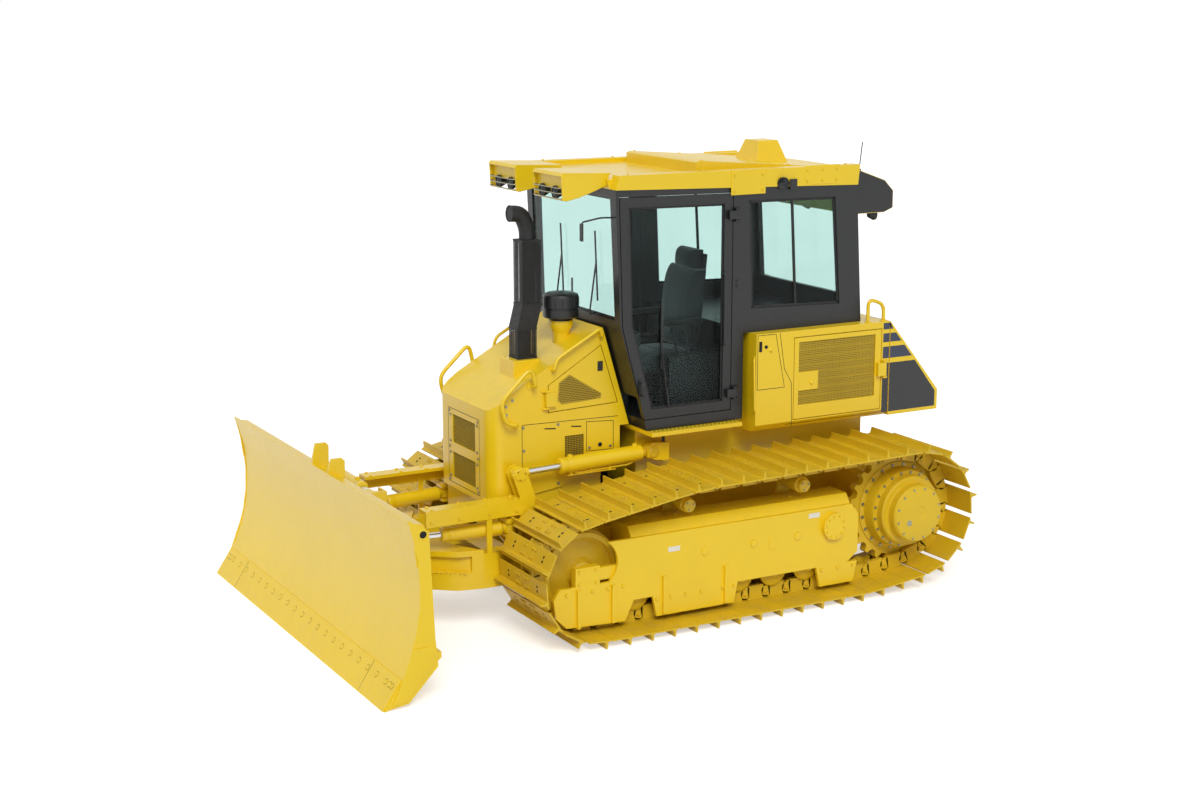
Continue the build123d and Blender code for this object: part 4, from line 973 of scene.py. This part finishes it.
def push_frame() -> None:
    """Push frame with the guard beams' bolts and the grip studs of its step."""
    dress("push_frame", YELLOW, 4.0, "push_frame")
    dress("angle_head", CAST_PAINT, 4.0, "angle_head")
    bolts, studs, dark = Form(), Form(), Form()
    for side, _ in SIDES:
        out, ear = (0, side, 0), (LIFT_EYE[0], side * (LIFT_Y + 53), LIFT_EYE[1])
        top = [(x, side * y, 930) for x in (1060, 1260, 1460, 1700) for y in (500, 588)]
        bolts.bolts(top, (0, 0, 1), 11, 9)
        bolts.bolts([(x, side * 605, 850) for x in (1060, 1270, 1500, 1710)], out, 11, 9)
        bolts.ring_of_bolts(ear, out, 34, 3, 7)
        bolts.cap(46, 5, 42, 8, ear, out, 36)
        rear = (ANGLE_REAR[0], side * ANGLE_REAR[1], ANGLE_Z + 60)
        bolts.cap(44, 6, 38, 10, rear, (0, 0, 1), 36)
        for k in range(8):
            for row in (0, 1):
                x, y = on_line((1440, 560), (1630, 425), k / 7)
                place = (x + row * 16, side * (y + row * 26), STUD_TOP)
                studs.lathe([(5, 0), (5, 5), (9, 5), (11, 0)], place, (0, 0, 1), 14)
                # A dark disc of painted shade fills each stud's hole.
                dark.lathe([(0, 0.3), (5, 0.3)], place, (0, 0, 1), 10)
    bolts.done("push_frame_bolts", YELLOW, "push_frame")
    studs.done("step_studs", YELLOW, "push_frame")
    dark.done("step_hole_shade", DARK_PARTS_AND_SHADE, "push_frame")
    caps = Form()
    for side, _ in SIDES:
        for z, way in ((ANGLE_Z + 75, 1), (ANGLE_Z - 75, -1)):
            caps.cap(42, 6, 36, 10, (ANGLE_EYE[0], side * ANGLE_EYE[1], z), (0, 0, way), 36)
    caps.cap(30, 6, 24, 10, (TILT_X + 46, *TILT_REAR), (1, 0, 0), 28)
    caps.done("head_pin_caps", CAST_PAINT, "angle_head")
    line = Form()
    for y in (170, 205):
        line.tube([(1985, y, 795), (1985, y, 870), (1890, y, 950), (1850, y - 80, 985),
                   (1850, y - 170, 860), (1965, y - 170, 860)], 14, 60, 16)
    line.done("head_hose_lines", RUBBER, "angle_head", ("head_hoses",))


def hull() -> None:
    """Main frame, brackets, step plates, hoses, drawbar and rear bolt plate."""
    dress("main_frame", YELLOW, 5.0)
    dress("side_brackets", YELLOW, 4.0)
    dress("engine", DARK_PARTS_AND_SHADE, 10.0)
    line, caps, grip = Form(), Form(), Form()
    x, z = LIFT_PIVOT
    for side, _ in SIDES:
        foot = side * (LIFT_Y + 26)
        line.tube([(x - 100, foot, z + 60), (x - 100, foot, z + 115),
                   (x - 20, side * (LIFT_Y - 30), z + 122), (x - 20, side * HOOD_HALF, z + 122)],
                  12, 45, 16)
        caps.cap(40, 6, 32, 11, (x, side * (LIFT_Y + 63), z), (0, side, 0), 36)
        trunnion = (-350, side * 606, 480)
        caps.ring_of_bolts(trunnion, (0, side, 0), 30, 4, 8)
        caps.cap(52, 8, 46, 12, trunnion, (0, side, 0), 36)
        area = [(-680, side * 480), (40, side * 480), (40, side * 745), (-680, side * 745)]
        # Dark dots of painted shade stand for the step plate's holes.
        dots(grip, area, Plane.PLAN, STEP_TOP, 0.6, 34, 8)
    line.done("hull_hose_lines", RUBBER, replaced=("hull_hoses",))
    caps.done("hull_pin_caps", CAST_PAINT)
    grip.done("step_grip_shade", DARK_PARTS_AND_SHADE)
    bolts = Form()
    for y in (-310, 310):
        bolts.bolts([(-2160, y, level) for level in (480, 600, 760, 880)], (-1, 0, 0), 12, 9)
    bolts.done("rear_plate_bolts", BOLT)


def hood() -> None:
    """Hood with its nose grilles, side doors, lower panels and grab rails."""
    dress("hood", YELLOW, 5.0)
    net, dark, bolts = Form(), Form(), Form()
    for low, high in ((1190, 1400), (930, 1120)):
        net.lattice((-190, 190), (low, high), Plane.FRONT, 1171, 15, 1.8)
        # A dark sheet of painted shade stands behind each nose grille.
        dark.box((1140, 1144), (-230, 230), (low - 20, high + 20))
        bolts.bolts([(1180, y, z) for y in (-225, 225) for z in (low + 8, high - 8)], (1, 0, 0),
                    9, 7)
    # Dark strips of painted shade mark the panel and door gaps, and a dark disc of painted shade
    # fills a small hole.
    gap_shade = Form()
    panel = [(-260, 890), (260, 890), (260, 1440), (-260, 1440)]
    seam(gap_shade, closed(panel), Plane.FRONT, 1180)
    bolts.bolts([(1180, y, z) for y in (-238, 238) for z in (910, 1155, 1422)], (1, 0, 0), 9, 7)
    for side, tag in SIDES:
        wall = side * HOOD_HALF
        out = (0, side, 0)
        net.lattice((445, 598), (1111, 1298), Plane.SIDE, wall - side * 7, 13, 1.6)
        # A dark sheet of painted shade stands behind the side grille.
        dark.box((430, 613), across(side, HOOD_HALF - 20, HOOD_HALF - 17), (1100, 1310))
        seam(gap_shade, [(165, 1400), (938, 1415), (938, 905)], Plane.SIDE, wall)
        service = [(423, 1385), (424, 1169), (203, 1162), (204, 1370)]
        seam(gap_shade, closed(service), Plane.SIDE, wall)
        for a, b in (((761, 1370), (672, 1362)), ((547, 1364), (466, 1356))):
            seam(gap_shade, [a, b], Plane.SIDE, wall, 9)
        gap_shade.lathe([(0, 0.6), (17, 0.6)], (313, wall, 1205), out, 24)
        places = [(926, 1395), (651, 1390), (924, 1228), (652, 960), (924, 940), (400, 1190),
                  (228, 1186), (1060, 1500), (1060, 1560), (1010, 1600)]
        bolts.bolts([(x, wall, z) for x, z in places], out, 9, 7)
        body = "hood_door_" + tag
        dress(body, YELLOW, 3.0, body)
        patch = [(655, 1560), (645, 1690), (560, 1742), (300, 1580), (310, 1545), (620, 1530)]
        mesh, hole = Form(), Form()
        mesh.solid(patch, Plane.SIDE, *sorted((wall, wall + side * 1.5)))
        # Dark dots of painted shade stand for the mesh's holes.
        dots(hole, inset(patch, 9), Plane.SIDE, wall + side * 1.5, side * 0.4, 13, 4.6)
        mesh.done("hood_door_mesh_" + tag, MESH, body)
        hole.done("hood_door_hole_shade_" + tag, DARK_PARTS_AND_SHADE, body)
        latch = Form()
        latch.box((292, 334), across(side, HOOD_HALF, HOOD_HALF + 5), (1745, 1815))
        latch.cap(13, 10, 9, 13, (308, wall, 1785), out, 20)
        latch.done("hood_door_latch_" + tag, BLACK, body, bevel=2)
    net.done("hood_grilles", MESH)
    dark.done("grille_back_shade", DARK_PARTS_AND_SHADE)
    gap_shade.done("hood_gap_shade", DARK_PARTS_AND_SHADE)
    bolts.done("hood_bolts", BOLT)
    rails()


def rails() -> None:
    """Round grab rails on the nose, the hood and the rear body."""
    bars, feet = Form(), Form()
    for side, _ in SIDES:
        y, wall = side * (HOOD_HALF + 65), side * HOOD_HALF
        bars.tube([(1000, wall, 1430), (1000, y, 1430), (1095, y, 1455), (1135, y, 1610),
                   (890, y, 1840), (860, y, 1690), (860, wall, 1690)], 15, 70, 20)
        for x, z in ((1000, 1430), (860, 1690)):
            feet.lathe([(0, 0), (34, 0), (34, 5), (16, 8)], (x, wall, z), (0, side, 0), 28)
        y = side * (HOOD_HALF + 40)
        bars.tube([(700, wall, 1790), (700, y, 1790), (680, y, 1870), (330, y, 2060),
                   (315, y, 2003), (315, wall, 2003)], 12, 45, 18)
        y = side * (CAB_HALF + 50)
        bars.tube([(-1830, y, 1960), (-1830, y, 2134), (-1975, y, 2085), (-1975, y, 1960)], 14,
                  60, 18)
        for x in (-1830, -1975):
            feet.lathe([(0, 0), (30, 0), (30, 4), (15, 7)], (x, y, 1960), (0, 0, 1), 28)
    bars.done("grab_rails", YELLOW, replaced=("handrails",))
    feet.done("grab_rail_feet", YELLOW)


def exhaust() -> None:
    """Open curved outlet over a perforated guard in three runs."""
    x, y = EXHAUST
    guard, pipe, base = Form(), Form(), Form()
    for x0, z0, z1 in ((x - 75, 1835, 2058), (x - 115, 2212, 2680)):
        x1 = x0 + 150
        for level in (y - 70, y + 70):
            guard.perforated((x0, x1), (z0, z1), Plane.SIDE, level, 16, 4.6)
        for level in (x0, x1):
            guard.perforated((y - 70, y + 70), (z0, z1), Plane.FRONT, level, 16, 4.6)
    kink = [(x - 75, 2058), (x + 75, 2058), (x + 35, 2212), (x - 115, 2212)]
    for level in (y - 70, y + 70):
        guard.solid(kink, Plane.SIDE, level - 0.8, level + 0.8)
    for (ax, az), (bx, bz) in ((kink[0], kink[3]), (kink[1], kink[2])):
        guard.solid([(ax - 0.8, az), (ax + 0.8, az), (bx + 0.8, bz), (bx - 0.8, bz)], Plane.SIDE,
                    y - 70, y + 70)
    for z, dx in ((1840, 0), (2050, 0), (2220, -40), (2672, -40)):
        for way in (-1, 1):
            middle_y, middle_x = y + way * 71, x + dx + way * 76
            guard.box((x + dx - 77, x + dx + 77), (middle_y - 1.5, middle_y + 1.5), (z - 7, z + 7))
            guard.box((middle_x - 1.5, middle_x + 1.5), (y - 72, y + 72), (z - 7, z + 7))
    guard.box((x - 114, x + 34), (y - 69, y + 69), (2676, 2680))
    guard.done("exhaust_guard", BLACK_HOT, replaced=("exhaust",))
    pipe.tube([(x, y, 1800), (x, y, 2060), (x - 40, y, 2215), (x - 40, y, 2760), (x + 10, y, 2862),
               (x + 96, y, 2868)], 58, 120, 28)
    pipe.lathe([(58, -2), (59.5, 0), (59.5, 4), (52, 4), (50, -60), (0, -62)],
               (x + 95, y, 2868), (1, 0, 0.06), 32)
    pipe.done("exhaust_pipe", BLACK_HOT)
    top = 1835
    base.box((x - 130, x + 130), (y - 110, y + 110), (1640, top))
    base.done("exhaust_base", YELLOW, bevel=8)
    bolts = Form()
    corners = [(x + dx, y + dy, top) for dx in (-105, 105) for dy in (-85, 85)]
    bolts.bolts(corners, (0, 0, 1), 9, 7)
    bolts.done("exhaust_base_bolts", YELLOW)


def precleaner() -> None:
    """Air precleaner with its neck, ribs and top knob."""
    cleaner, neck, vanes = Form(), Form(), Form()
    x, y, z = PRECLEANER
    neck.lathe([(0, -380), (60, -380), (60, -120), (66, -100), (88, -60), (88, -20), (0, -20)],
               PRECLEANER, (0, 0, 1), 48)
    neck.done("precleaner_neck", YELLOW)
    cleaner.lathe([(0, -28), (78, -28), (78, -14), (72, -10), (74, 0),
                   (120, 0), (128, 6), (130, 16), (130, 60), (126, 64), (126, 70), (130, 74),
                   (130, 150), (124, 166), (100, 176), (0, 180)], PRECLEANER, (0, 0, 1), 56)
    cleaner.done("air_precleaner", BLACK, replaced=("precleaner",))
    ribs, radius = 16, 131
    for k in range(ribs):
        t = 2 * math.pi * k / ribs
        dx, dy = radius * math.cos(t), radius * math.sin(t)
        vanes.rod((x + dx, y + dy, z + 79), (x + dx, y + dy, z + 145), 3, 8)
    vanes.cap(16, 12, 8, 16, (x, y, z + 167), (0, 0, 1), 20)
    vanes.done("precleaner_ribs", BLACK)


def cab() -> None:
    """Black cab with tinted panes, two doors, wipers and a mirror."""
    dress("cab", BLACK, 8.0)
    dress("cab_glass", GLASS, 0.0)
    seals, trim = Form(), Form()
    for side, tag in SIDES:
        level = side * (CAB_HALF - 12)
        seam(seals, closed(inset(REAR_WINDOW, 8)), Plane.SIDE, level, 22, 4)
        low = on_line(REAR_WINDOW[3], REAR_WINDOW[0], 0.5)
        high = on_line(REAR_WINDOW[2], REAR_WINDOW[1], 0.5)
        seam(seals, [low, high], Plane.SIDE, level, 20, 5)
        body = "cab_door_" + tag
        dress(body, BLACK, 6.0, body)
        dress("door_glass_" + tag, GLASS, 0.0, body)
        frame_line, handle = Form(), Form()
        seam(frame_line, closed(inset(CAB_DOOR, 80)), Plane.SIDE, level, 20, 4)
        frame_line.done("door_seal_" + tag, RUBBER, body)
        wall, grip, bar = side * CAB_HALF, side * (CAB_HALF + 34), side * (CAB_HALF + 45)
        handle.box((96, 128), across(side, CAB_HALF, CAB_HALF + 9), (1560, 1700))
        handle.tube([(112, wall, 1585), (112, grip, 1590), (112, grip, 1672), (112, wall, 1680)],
                    8, 18)
        handle.tube([(-560, wall, 1900), (-560, bar, 1900), (-560, bar, 2420), (-560, wall, 2420)],
                    11, 30)
        handle.done("door_handles_" + tag, BLACK, body, bevel=2)
        wiper = Form()
        wiper.tube([(-120, side * (CAB_HALF - 8), 1475), (-120, side * (CAB_HALF + 4), 1480),
                    (-60, side * (CAB_HALF + 2), 1900)], 5, 12, 10)
        wiper.box((-70, -58), across(side, CAB_HALF - 16, CAB_HALF - 4), (1760, 2240))
        wiper.done("door_wiper_" + tag, BLACK, body)
        for z in (1500, 2300, 2800):
            trim.bolts([(-690, wall, z + dz) for dz in (12, 48)], (0, side, 0), 10, 8)
    windscreen = [(-590, 2140), (590, 2140), (590, 2980), (-590, 2980)]
    seam(seals, closed(windscreen), Plane.FRONT, 262, 18, 4)
    seals.done("window_seals", RUBBER)
    front = Form()
    for y in (-260, 260):
        front.tube([(282, y, 2120), (292, y, 2140), (306, y + 120, 2520)], 6, 15, 10)
        rubber = [(292, 2240), (300, 2240), (322, 2740), (314, 2740)]
        front.solid(rubber, Plane.SIDE, y + 118, y + 130)
    front.done("front_wipers", BLACK)
    trim.tube([(315, 650, 2860), (440, 690, 2870), (590, 705, 2850), (600, 708, 2830)], 6, 30)
    trim.box((594, 606), (690, 726), (2720, 2840))
    trim.done("mirror_and_hinge_bolts", BLACK, bevel=4)


def cushion(centre: Point3, long: Point3, up: Point3, size: Point3, groove: float) -> Form:
    """Crowned pad across the seat, with soft edges and sewn grooves.

    Args:
        centre: middle of the pad's underside.
        long: direction of its length.
        up: direction of its thickness.
        size: half width, half length and thickness.
        groove: depth of the sewn lines.

    Returns:
        The pad's form.
    """
    form, n = Form(), 28
    w, l, u = (Vector(d).normalized() for d in ((0, 1, 0), long, up))
    grid = []
    for i in range(n + 1):
        row = []
        for j in range(n + 1):
            a, b = math.sin(math.pi / 2 * (2 * i / n - 1)), math.sin(math.pi / 2 * (2 * j / n - 1))
            fall = ((1 - abs(a) ** 5) * (1 - abs(b) ** 5)) ** 0.4
            rise = size[2] * (0.55 + 0.45 * (1 - 0.35 * (a * a + b * b))) * fall
            for line in (0.6, -0.6):
                rise -= groove * math.exp(-((a - line) / 0.035) ** 2) * fall
            for line in (-0.34, 0.34):
                if abs(a) < 0.6:
                    rise -= groove * math.exp(-((b - line) / 0.03) ** 2) * fall
            row.append((a, b, rise))
        grid.append(row)
    layers = []
    for share in (0.0, 1.0):
        layers.append([[form.mesh.verts.new(Vector(centre) + w * size[0] * a + l * size[1] * b
                                            + u * (rise if share else -size[2] * 0.2))
                        for a, b, rise in row] for row in grid])
    for layer in layers:
        for i in range(n):
            for j in range(n):
                form.mesh.faces.new((layer[i][j], layer[i + 1][j], layer[i + 1][j + 1],
                                     layer[i][j + 1]))
    low, high = layers
    rim = [(i, 0) for i in range(n)] + [(n, j) for j in range(n)]
    rim += [(i, n) for i in range(n, 0, -1)] + [(0, j) for j in range(n, 0, -1)]
    for (i, j), (p, q) in zip(rim, rim[1:] + rim[:1]):
        form.mesh.faces.new((low[i][j], low[p][q], high[p][q], high[i][j]))
    return form


def seat() -> None:
    """Operator's seat with a padded cushion, backrest, headrest and arm pads."""
    shell = Form()
    shell.box((-600, -310), (-150, 150), (1365, 1640))
    shell.box((-640, -240), (-210, 210), (1630, 1665))
    shell.solid([(-665, 1700), (-640, 1700), (-722, 2480), (-748, 2480)], Plane.SIDE, -190, 190)
    for z in (1420, 1480, 1540, 1600):
        shell.box((-615, -295), (-165, 165), (z - 18, z + 18))
    shell.done("seat_base", PLASTIC, bevel=10)
    base = cushion((-435, 0, 1668), (1, 0, 0), (0, 0, 1), (255, 250, 118), 9)
    pad = base.done("seat_cushion", FABRIC, replaced=("seat",))
    lean = tuple(Vector((-0.105, 0, 1)).normalized())
    facing = tuple(Vector((1, 0, 0.105)).normalized())
    back = cushion((-655, 0, 2070), lean, facing, (228, 300, 112), 8)
    rest = back.done("seat_backrest", FABRIC)
    head = cushion((-712, 0, 2430), lean, facing, (140, 78, 88), 0)
    top = head.done("seat_headrest", FABRIC)
    arms = Form()
    for side, _ in SIDES:
        arms.rod((-600, side * 275, 1800), (-600, side * 275, 1985), 14, 18)
        arms.box((-640, -330), across(side, 240, 310), (1980, 2030))
    arms.done("seat_arms", PLASTIC, bevel=14, segments=3)


def cab_interior() -> None:
    """Instrument console, side consoles, levers and screen."""
    dress("console", PLASTIC, 14.0)
    levers, screen = Form(), Form()
    for x, y, lean in ((-360, 400, 30), (-450, 400, 20), (-360, -400, 30)):
        levers.tube([(x, y, 1795), (x + lean, y, 1930)], 9, steps=14)
        levers.lathe([(0, 0), (16, 0), (26, 22), (28, 50), (20, 76), (0, 84)],
                     (x + lean, y, 1920), (0.2, 0, 1), 24)
    levers.tube([(20, -150, 1985), (10, -150, 2035), (10, 150, 2035), (20, 150, 1985)], 12, 30)
    for y in (-110, 110):
        levers.box((-60, 60), (y - 55, y + 55), (1400, 1412))
    levers.done("levers_and_pedals", PLASTIC)
    screen.solid([(20, 2000), (34, 2000), (60, 2150), (46, 2150)], Plane.SIDE, 210, 400)
    screen.box((60, 85), (290, 320), (1985, 2080))
    screen.done("screen", BLACK, bevel=5)
    dials = Form()
    for y in (-60, 0, 60):
        dials.lathe([(0, 3), (22, 3), (26, 6), (28, 0)], (-70, y, 1880), (-1, 0, 0), 28)
    dials.done("dials", CHROME)


def lamp(form: Form, lens: Form, at: Point3, axis: Point3, radius: float, depth: float) -> None:
    """Adds a round lamp's bowl, rim and lens."""
    form.lathe([(0, -depth), (radius * 0.55, -depth), (radius * 0.9, -depth * 0.4),
                (radius, -depth * 0.25), (radius, 0), (radius * 0.88, 0), (radius * 0.84, -8),
                (0, -16)], at, axis, 40)
    lens.lathe([(radius * 0.86, -7), (radius * 0.7, -3), (radius * 0.4, 0), (0, 1)], at, axis, 40)


def roof() -> None:
    """Roof panel with its raised plate, dome, lamp pods, rear box and antenna."""
    dress("cab_roof", YELLOW, 9.0)
    shell, lens, bolts, guards, pods = Form(), Form(), Form(), Form(), Form()
    for side, _ in SIDES:
        for y in (250, 440):
            lamp(shell, lens, (668, side * y, 3034), (1, 0, 0), 46, 60)
        for z in (2998, 3034, 3070):
            guards.tube([(655, side * 158, z), (690, side * 165, z), (694, side * 345, z),
                         (690, side * 545, z), (655, side * 552, z)], 4, 20, 10)
        cheek = [(330, 3075), (400, 3046), (540, 3000), (640, 2980), (672, 2990), (680, 3150),
                 (668, 3172), (300, 3158)]
        for near, far in ((140, 152), (558, 570)):
            pods.solid(cheek, Plane.SIDE, *across(side, near, far))
        pods.solid([(290, 3150), (668, 3163), (682, 3148), (688, 3154), (670, 3176), (290, 3160)],
                   Plane.SIDE, *across(side, 140, 570))
        pods.solid([(640, 2980), (672, 2986), (672, 2994), (640, 2990)], Plane.SIDE,
                   *across(side, 140, 570))
        pods.box((-911, -618), across(side, CAB_HALF + 8, CAB_HALF + 18), (2968, 3135))
        pods.box((-1560, -1250), across(side, CAB_HALF + 4, CAB_HALF + 13), (3010, 3150))
        bolts.bolts([(x, side * (CAB_HALF + 18), z) for x in (-885, -645) for z in (2995, 3108)],
                    (0, side, 0), 9, 7)
        bolts.bolts([(x, side * (CAB_HALF + 13), z) for x in (-1535, -1410, -1275)
                     for z in (3040, 3120)], (0, side, 0), 9, 7)
        shell.box((-1180, -1120), across(side, CAB_HALF + 10, CAB_HALF + 24), (2985, 3060))
        lamp(shell, lens, (-1050, side * (CAB_HALF + 36), 3035), (0.6, side, -0.12), 44, 52)
        shell.box((-1085, -1035), across(side, CAB_HALF + 8, CAB_HALF + 30), (3040, 3075))
        lamp(shell, lens, (-2085, side * 430, 2725), (-1, 0, 0), 44, 52)
        shell.box((-2060, -2030), across(side, 418, 442), (2725, 2780))
        for x, z in ((-1560, 3118), (-1250, 3143), (-900, 3170), (-500, 3203)):
            bolts.bolts([(x, side * 480, z)], (-0.08, 0, 1), 9, 6)
        edge = [(x, side * 640, 3143 + (x + 1750) * 0.005) for x in (-1650, -1000, -400, 200)]
        bolts.bolts(edge, (0, 0, 1), 9, 6)
    shell.done("lamp_bodies", BLACK, replaced=("lamps",))
    lens.done("lamp_lenses", LENS)
    guards.done("lamp_guards", BOLT)
    pods.done("lamp_pods", YELLOW, bevel=4)
    bolts.done("roof_bolts", YELLOW)
    box = Form()
    box.solid([(-1752, 2988), (-1760, 3106), (-2051, 3002), (-2132, 2921), (-2132, 2789),
               (-2051, 2758), (-1752, 2758)], Plane.SIDE, -602, 602)
    box.done("rear_roof_box", BLACK, bevel=10)
    # Dark strips of painted shade stand for the rear box's slots.
    slot_shade = Form()
    for z in (2830, 2860, 2890):
        slot_shade.box((-2134, -2131), (-480, 480), (z - 6, z + 6))
    slot_shade.done("rear_roof_slot_shade", DARK_PARTS_AND_SHADE)
    whip = Form()
    whip.rod((-1880, 500, 3040), (-1880, 500, 3085), 16, 20, 3)
    whip.tube([(-1880, 500, 3080), (-1905, 500, 3284)], 4, steps=10)
    whip.done("antenna", BLACK)


def rear_body() -> None:
    """Rear body with its mesh doors, cooling pack and slatted tail."""
    dress("rear_body", YELLOW, 7.0)
    dress("cooling_pack", DARK_PARTS_AND_SHADE, 6.0)
    dress("tail_door", YELLOW, 7.0, "tail_door")
    gap_shade, knobs = Form(), Form()
    for side, tag in SIDES:
        wall = side * BODY_HALF
        out = (0, side, 0)
        small = [(-812, 1950), (-968, 1950), (-1051, 1548), (-812, 1548)]
        # Dark strips of painted shade mark the door gaps; a small dark block and disc sit by the
        # door's knob.
        seam(gap_shade, closed(small), Plane.SIDE, wall)
        seam(gap_shade, [(-1004, 1955), (-1048, 1685), (-1113, 1573), (-1122, 1250)], Plane.SIDE, wall)
        gap_shade.box((-846, -824), across(side, BODY_HALF, BODY_HALF + 5), (1830, 1905))
        gap_shade.lathe([(0, 5), (12, 5), (14, 0)], (-885, wall, 1862), out, 24)
        knobs.lathe([(0, 0), (14, 0), (14, 5), (8, 9), (8, 16), (0, 18)], (-925, wall, 1835),
                    out, 24)
        body = "body_door_" + tag
        dress(body, YELLOW, 4.0, body)
        screen, latch = Form(), Form()
        screen.perforated((-1868, -1178), (1402, 1868), Plane.SIDE, wall - side * 7, 13, 3.4)
        screen.done("body_door_mesh_" + tag, MESH, body)
        latch.box((-1350, -1176), across(side, BODY_HALF - 8, BODY_HALF + 2), (1505, 1645))
        latch.cap(15, 8, 10, 12, (-1290, side * (BODY_HALF + 2), 1560), out, 24)
        latch.done("body_door_latch_" + tag, YELLOW, body, bevel=3)
        knobs.tube([(-805, side * 752, 1392), (-786, side * 790, 1394), (-776, side * 790, 1777),
                    (-805, side * 752, 1790)], 8, 20)
        field, bars = (Form(), Form()), (Form(), Form())
        near, gap_x, level = -1942, -2003, sorted((wall, wall + side * 0.6))
        for form, low, high in ((bars, 1899, 1948), (bars, 1801, 1868), (bars, 1677, 1766),
                                (field, 1262, 1640)):
            form[0].slab((near, gap_x + 4), (low, high), Plane.SIDE, *level)
            edge = [(max(TAIL_X, -1984 - (1960 - z) / 1.2154), z) for z in (low, high)]
            if low < TAIL_KINK:
                edge.insert(1, (TAIL_X, TAIL_KINK))
            form[1].solid([(gap_x - 5, low), *edge, (gap_x - 5, high)], Plane.SIDE, *level)
        for form, name, finish in ((field, "tail_field_", FIELD), (bars, "tail_bars_", STRIPE)):
            form[0].done(name + "front_" + tag, finish)
            form[1].done(name + tag, finish, "tail_door")
    gap_shade.done("body_gap_shade", DARK_PARTS_AND_SHADE)
    knobs.done("body_knobs", YELLOW)


def seen_share(tree: bpy.types.NodeTree):
    """Socket that is 1 for rays that show what lies behind the object, and 0 for its light."""
    paths = add_node(tree, "ShaderNodeLightPath").outputs
    total = paths["Is Camera Ray"]
    for name in ("Is Glossy Ray", "Is Transmission Ray"):
        total = joined(tree, "MAXIMUM", total, paths[name])
    return total


def sun(name: str, toward: Point3, strength: float, spread: float) -> None:
    """Adds a distant soft light that comes from a direction."""
    data = bpy.data.lights.new(name, "SUN")
    data.energy, data.angle = strength, math.radians(spread)
    item = bpy.data.objects.new(name, data)
    item.rotation_euler = Vector(toward).to_track_quat("Z", "Y").to_euler()
    bpy.context.scene.collection.objects.link(item)


def studio() -> None:
    """Pale floor, white surroundings, soft lights and the camera."""
    scene = bpy.context.scene
    scene.view_settings.view_transform = "Standard"
    world = bpy.data.worlds.new("studio")
    world.use_nodes = True
    tree = world.node_tree
    back = tree.nodes["Background"]
    set_inputs(back, {"Color": WHITE})
    tree.links.new(scaled(tree, seen_share(tree), AMBIENT, 1.0), back.inputs["Strength"])
    scene.world = world
    data, r = bpy.data.meshes.new("floor"), FLOOR_REACH
    data.from_pydata([(-r, -r, 0), (r, -r, 0), (r, r, 0), (-r, r, 0)], [], [(0, 1, 2, 3)])
    floor = bpy.data.objects.new("floor", data)
    paper = bpy.data.materials.new("floor_paper")
    paper.use_nodes = True
    tree = paper.node_tree
    shader = tree.nodes["Principled BSDF"]
    set_inputs(shader, {"Base Color": FLOOR_GREY, "Roughness": 1.0, "Specular IOR Level": 0.0,
                        "Emission Color": WHITE})
    glow = scaled(tree, seen_share(tree), 0.0, FLOOR_GLOW)
    tree.links.new(glow, shader.inputs["Emission Strength"])
    data.materials.append(paper)
    scene.collection.objects.link(floor)
    sun("key", (0.3, 0.8, 0.8), 1.75, 25)
    sun("fill", (0.9, -0.1, 0.7), 0.45, 60)
    camera = bpy.data.cameras.new("camera")
    camera.lens, camera.sensor_width = CAMERA_LENS, CAMERA_SENSOR
    camera.clip_end = CAMERA_REACH
    eye = bpy.data.objects.new("camera", camera)
    eye.location = CAMERA_PLACE
    eye.rotation_euler = Vector(CAMERA_BACK).to_track_quat("Z", "Y").to_euler()
    scene.collection.objects.link(eye)
    scene.camera = eye


def main() -> None:
    for side, tag in SIDES:
        Track(side, tag).build()
    cylinders()
    for part in (blade, push_frame, hull, hood, exhaust, precleaner, cab, seat, cab_interior, roof,
                 rear_body, studio):
        part()
        LOG.info("made %s", part.__name__)


if __name__ == "__main__":
    logging.basicConfig(level=logging.INFO)
    main()
